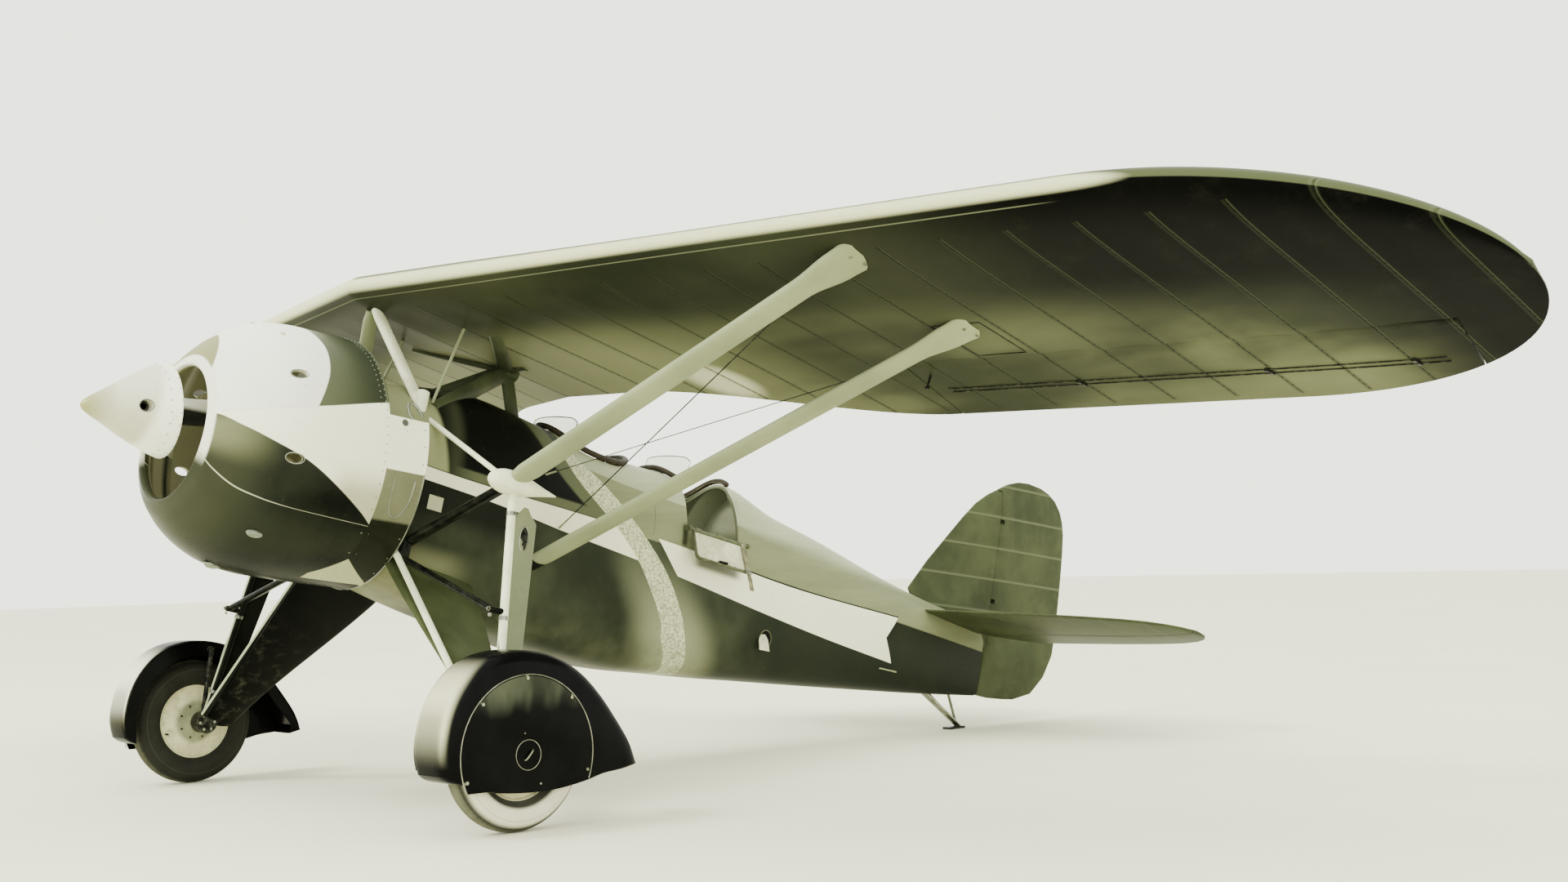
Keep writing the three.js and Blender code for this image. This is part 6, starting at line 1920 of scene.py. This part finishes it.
def windscreen(name):
    y, length = COCKPITS[name][:2]
    middle = y - length - 40 + SCREEN_BOW

    def spot(turn, thick, height):
        t = (height - 150) / (SCREEN_TOP - 150)
        k = 1 - (1 - SCREEN_TAPER) * t
        return np.array(((SCREEN_WIDTH + thick) * math.sin(turn) * k,
                         middle - (SCREEN_BOW + thick) * math.cos(turn) * k + SCREEN_LEAN * t, height))

    def above_deck(turn):
        height = 400.0
        for _ in range(12):
            x, at, _ = spot(turn, 3, height)
            height = deck(x, at) + 2
        return height

    rings, foot, crown = [], [], []
    for turn in np.radians(np.linspace(-61.5, 61.5, 64)):
        low = above_deck(turn)
        edge = (abs(math.degrees(turn)) - 47) / 14.5
        high = SCREEN_TOP - 2 - 26 * max(edge, 0) ** 2
        heights = np.linspace(low, high, 7)
        outer = [spot(turn, 4.2, h) for h in heights]
        inner = [spot(turn, 1.4, h) for h in heights[::-1]]
        rings.append(np.array(outer + inner))
        foot.append(spot(turn, 3, low + 1))
        crown.append(spot(turn, 2.8, high))
    piece(f"windscreen_sheet_{name}", level, loft(rings), GLASS,
          replaces=("windscreen_" + name,), crease=40)
    left, right = ([(foot[k] + crown[k]) / 2] for k in (0, -1))
    edge = np.concatenate([foot[::-1], left, crown, right, foot[-1:]])
    parts = [tube(curve_through(edge, 200), 3.6, 8), tube(np.array(foot) + (0, -3, -1), 6.5, 8)]
    for k in range(4, 62, 5):
        parts.append(bolt(foot[k] + (0, -6, 3), (0, -0.6, 1), 3, 2.5))
    piece(f"windscreen_frame_{name}", level, parts, LIGHT_METAL)


# The door hangs open on two lugs, its inner face turned outward
DOOR_HINGE_X = station(3180)["width"] + 30
DOOR_LOW = -190


def on_door(points):
    p = np.asarray(points, float).reshape(-1, 3)
    c, s = math.cos(DOOR_ANGLE), math.sin(DOOR_ANGLE)
    x, z = p[:, 0], p[:, 2]
    return level(np.stack([DOOR_HINGE_X + x * c - z * s, p[:, 1], 90 + x * s + z * c], 1))


def rounded_leaf(inset, x, radius=26):
    low_y, high_y, low_z, high_z = 2966 + inset, 3384 - inset, DOOR_LOW + inset, -inset
    spots = []
    corners = ((high_y, high_z, 0), (low_y, high_z, 90), (low_y, low_z, 180), (high_y, low_z, 270))
    for y, z, first in corners:
        reach = 4 if first < 180 else radius
        cy = y - math.copysign(reach, y - 3175)
        cz = z - math.copysign(reach, z - (high_z + low_z) / 2)
        for t in np.radians(np.linspace(first, first + 90, 9)):
            spots.append((x, cy + reach * math.cos(t), cz + reach * math.sin(t)))
    return np.array(spots)


leaf = loft([rounded_leaf(3, 0), rounded_leaf(0, 2), rounded_leaf(0, 8), rounded_leaf(2, 9)])
piece("door_leaf", on_door, leaf, RIM, "cockpit_door", ("cockpit_door",), 40)
lining = loft([rounded_leaf(17, 8.5), rounded_leaf(17, 11), rounded_leaf(19, 12)])
piece("door_lining", on_door, lining, CREAM, "cockpit_door", crease=40)
edge = rounded_leaf(8, 10)
door_parts = [tube(np.concatenate([edge, edge[:1]]), 6.5, 10)]
door_parts.append(rod((7, 2940, 0), (7, 3410, 0), 9, sides=28))
for at in (3010, 3175, 3340):
    door_parts.append(rod((7, at - 22, 0), (7, at + 22, 0), 13, sides=28))
piece("door_rim", on_door, door_parts, RIM, "cockpit_door", crease=40)
fittings = [block((11, 3140, -176), (19, 3206, -164)), rod((15, 3196, -170), (26, 3196, -170), 6, sides=16),
            rod((24, 3196, -170), (24, 3150, -172), 4.5, sides=12)]
for at in np.linspace(2990, 3360, 9):
    for z in (-14, -176):
        fittings.append(bolt((13, at, z), (1, 0, 0), 2.6, 2))
piece("door_fittings", on_door, fittings, DARK_METAL, "cockpit_door", crease=40)
STRAP_LINE = [(17, 3352, 6), (20, 3350, -40), (20, 3356, -110), (21, 3362, -180), (17, 3372, -240),
              (13, 3378, -300)]
strap_path = curve_through(STRAP_LINE, 40)
strap_rings = []
for k, at in enumerate(strap_path):
    wide = 15 + 1.2 * math.sin(k * 0.9)
    strap_rings.append(at + [(-1.6, -wide, 0), (1.6, -wide, 0), (2.2, 0, 0), (1.6, wide, 0), (-1.6, wide, 0)])
piece("door_strap", on_door, loft(strap_rings), STRAP, "cockpit_door", crease=40)
middle = strap_path[24]
loop = middle + [(3, -19, -13), (3, 19, -13), (3, 19, 13), (3, -19, 13), (3, -19, -13)]
buckle = [tube(loop, 2.6, 8), rod(middle + (3.5, 0, -13), middle + (3.5, 0, 13), 2, sides=8)]
piece("door_buckle", on_door, buckle, LIGHT_METAL, "cockpit_door")

pin_x, pin_z = DOOR_HINGE_X + 7 * math.cos(DOOR_ANGLE), 90 + 7 * math.sin(DOOR_ANGLE)
for key, at in (("front", 2940), ("rear", 3396)):
    inside_x = station(3180)["width"] - 40
    wedge = closed_object("lug", block((inside_x, at, 78), (pin_x, at + 14, 108)), RIM)
    boss = closed_object("boss", rod((pin_x, at, pin_z), (pin_x, at + 14, pin_z), 16, sides=40))
    boolean(wedge, [boss], "UNION")
    boolean(wedge,
            [closed_object("bore", rod((pin_x, at - 5, pin_z), (pin_x, at + 20, pin_z), 9.6, sides=40))])
    wedge.name = "door_lug_" + key
    to_frame(wedge, level)
    settle(wedge)

for name in COCKPITS:
    coaming(name)
    seat(name, SEAT_Y[name])
    instrument_panel(name, PANEL_Y[name])
    windscreen(name)

# Tail skid, wires, hinges, rods and the other small parts
skid_foot = to_level([(0, 4760, 16)])[0]
spring = strut((0, 5455, -380), skid_foot, eased([(0, 46, 40), (1, 30, 56)], 16), sides=32)
prop = rod((0, 5720, -330), to_level([(0, 4740, 12)])[0], 10, sides=20)
piece("skid_spring", level, [spring, prop], BRIGHT, replaces=("tail_skid",), crease=50)
shoe = loft([[(-32, 4632, z), (32, 4632, z), (32, 4790, z), (-32, 4790, z)] for z in (0.4, 16)])
piece("skid_shoe", standing, shoe, DARK_METAL, crease=20)

wires, fittings = [], []
for side in (1, -1):
    for foot, top_x, top_aft, thick in (((400, 2044, -128), 2240, 630, 3.0),
                                        ((400, 1908, 135), 2450, 1300, 2.4)):
        start, end = mirrored(side, foot), underside(side * top_x, top_aft)
        start[0] = side * (body_side(foot[1], foot[2]) - 6)
        wires.append(rod(start, end, thick, sides=10, steps=2))
        along = unit(end - start) * 74
        fittings.append(rod(start, start + along, 6.5, 4.5, sides=12))
        fittings.append(rod(end - along, end, 4.5, 6.5, sides=12))
    rod_top = underside(side * 300, 502)
    fittings.append(rod((side * 330, 1185, 330), rod_top, 8, sides=14))
piece("bracing_wires", level, wires, DARK_METAL)
piece("wire_ends", level, fittings, LIGHT_STRUT)

for name, side in SIDES:
    lines = []
    for aft in (1676, 1716):
        rows = [underside(side * x, aft - (1 - planform(x)[2]) * CHORD / 2) + (0, 0, -2.5)
                for x in np.linspace(2330, 4720, 40)]
        lines.append(tube(rows, 3.4, 8))
    for x in (3040, 3950, 4590):
        under = underside(side * x, 1696 - (1 - planform(x)[2]) * CHORD / 2)
        lines.append(block(under + (-9, -34, -12), under + (9, 34, 4)))
        lines.append(rod(under + (-16, 0, -9), under + (16, 0, -9), 7, sides=14))
    piece("aileron_rods_" + name, level, lines, DARK_METAL, "aileron_" + name, crease=40)
    root = underside(side * 2360, 1500)
    horn = [rod(root, root + (0, -14, -70), 7, 5, sides=12),
            rod(root + (-10, -14, -70), root + (10, -14, -70), 8, sides=12)]
    piece("aileron_horn_" + name, level, horn, DARK_METAL, "aileron_" + name, crease=40)
    outline = [(2750, 972), (3000, 972), (3000, 1321), (2750, 1321), (2750, 972)]
    hatch = [underside(side * x, aft) + (0, 0, -0.6) for x, aft in outline]
    piece("hatch_edge_" + name, level, tube(hatch, 2.6, 8), DARK_METAL)


# A round step hole in the body's side, its rim and the flap that stands out from it
STEP_FLAP = ((-46, -62), (46, -58), (40, 10), (22, 36), (-2, 44), (-26, 30), (-42, 2))


def step():
    _, s, h = to_level([(0, 2700, 700)])[0]
    circle = [(0.9 * 58 * math.cos(t), 58 * math.sin(t)) for t in full_turn(32)]

    def on_side(share, lift):
        spots = [(s + b * share, h + c * share) for b, c in circle]
        return np.array([(body_side(y, z) + lift, y, z) for y, z in spots])

    hole = loft([on_side(share, lift) for lift, share in ((-2, 1), (1.2, 1), (1.6, 0.93))])
    rim = on_side(1, 2)
    out = body_side(s, h)
    flap = []
    for lift in (3, 6):
        flap.append([(out + lift + 0.35 * (40 - c), s - 24 + b * 0.9, h - 8 + c) for b, c in STEP_FLAP])
    return hole, tube(np.concatenate([rim, rim[:1]]), 3, 8), loft(flap)


hole, rim, flap = step()
piece("step_hole", level, hole, GLOSS)
piece("step_rim", level, rim, RIM)
piece("step_flap", level, flap, CREAM, crease=40)
handle_a, handle_b = to_level([(0, 3826, 462), (0, 3977, 432)])
grip = [(body_side(q[1], q[2]) + lift, q[1], q[2]) for q,
        lift in ((handle_a, -2), (handle_a, 12), (handle_b, 12), (handle_b, -2))]
piece("side_grip", level, tube(curve_through(grip, 24), 5, 10), LIGHT_STRUT)


# Camera of the photo, floor and light
CAMERA_AT = (8.433, -4.737 + SHIFT / 1000, 1.162)
YAW, PITCH, ROLL = math.radians(46.761), math.radians(3.758), math.radians(-1.476)
FOCAL_PIXELS, PICTURE_WIDTH, SENSOR = 2251.2, 1920, 36
FLOOR_HALF = 70


def make_camera():
    ahead = Vector((-math.sin(YAW) * math.cos(PITCH), math.cos(YAW) * math.cos(PITCH), math.sin(PITCH)))
    right = Vector((math.cos(YAW), math.sin(YAW), 0))
    up = right.cross(ahead)
    right, up = math.cos(ROLL) * right + math.sin(ROLL) * up, math.cos(ROLL) * up - math.sin(ROLL) * right
    data = bpy.data.cameras.new("camera")
    data.lens = FOCAL_PIXELS / PICTURE_WIDTH * SENSOR
    data.sensor_width, data.sensor_fit, data.clip_end = SENSOR, "HORIZONTAL", 200
    camera = bpy.data.objects.new("camera", data)
    bpy.context.scene.collection.objects.link(camera)
    camera.matrix_world = Matrix((
        (right.x, up.x, -ahead.x, CAMERA_AT[0]),
        (right.y, up.y, -ahead.y, CAMERA_AT[1]),
        (right.z, up.z, -ahead.z, CAMERA_AT[2]),
        (0, 0, 0, 1),
    ))
    bpy.context.scene.camera = camera


def area_light(name, at, target, size, power, colour=(1, 1, 0.93)):
    data = bpy.data.lights.new(name, "AREA")
    data.shape, data.size, data.energy, data.color = "DISK", size, power, colour
    light = bpy.data.objects.new(name, data)
    light.location = at
    light.rotation_euler = (Vector(target) - Vector(at)).to_track_quat("-Z", "Y").to_euler()
    bpy.context.scene.collection.objects.link(light)


def make_stage():
    g = Graph("floor_pale")
    pale = g.paint(g.mix(g.noise(0.6, 3), (0.88, 0.87, 0.74), (0.94, 0.93, 0.80)), 0.9)
    corners = [(x * FLOOR_HALF, y * FLOOR_HALF, 0) for x, y in ((-1, -1), (1, -1), (1, 1), (-1, 1))]
    raw_object("floor", corners, [(0, 1, 2, 3)], pale)
    world = bpy.data.worlds.new("sky")
    world.use_nodes = True
    world.node_tree.nodes["Background"].inputs["Color"].default_value = (0.93, 0.945, 0.83, 1)
    world.node_tree.nodes["Background"].inputs["Strength"].default_value = 3.2
    bpy.context.scene.world = world
    area_light("key", (-3, -15, 14), (0, -1, 1.5), 6, 3200)
    area_light("fill", (12, -4, 6), (0, 0, 1.5), 8, 250)


make_camera()
make_stage()
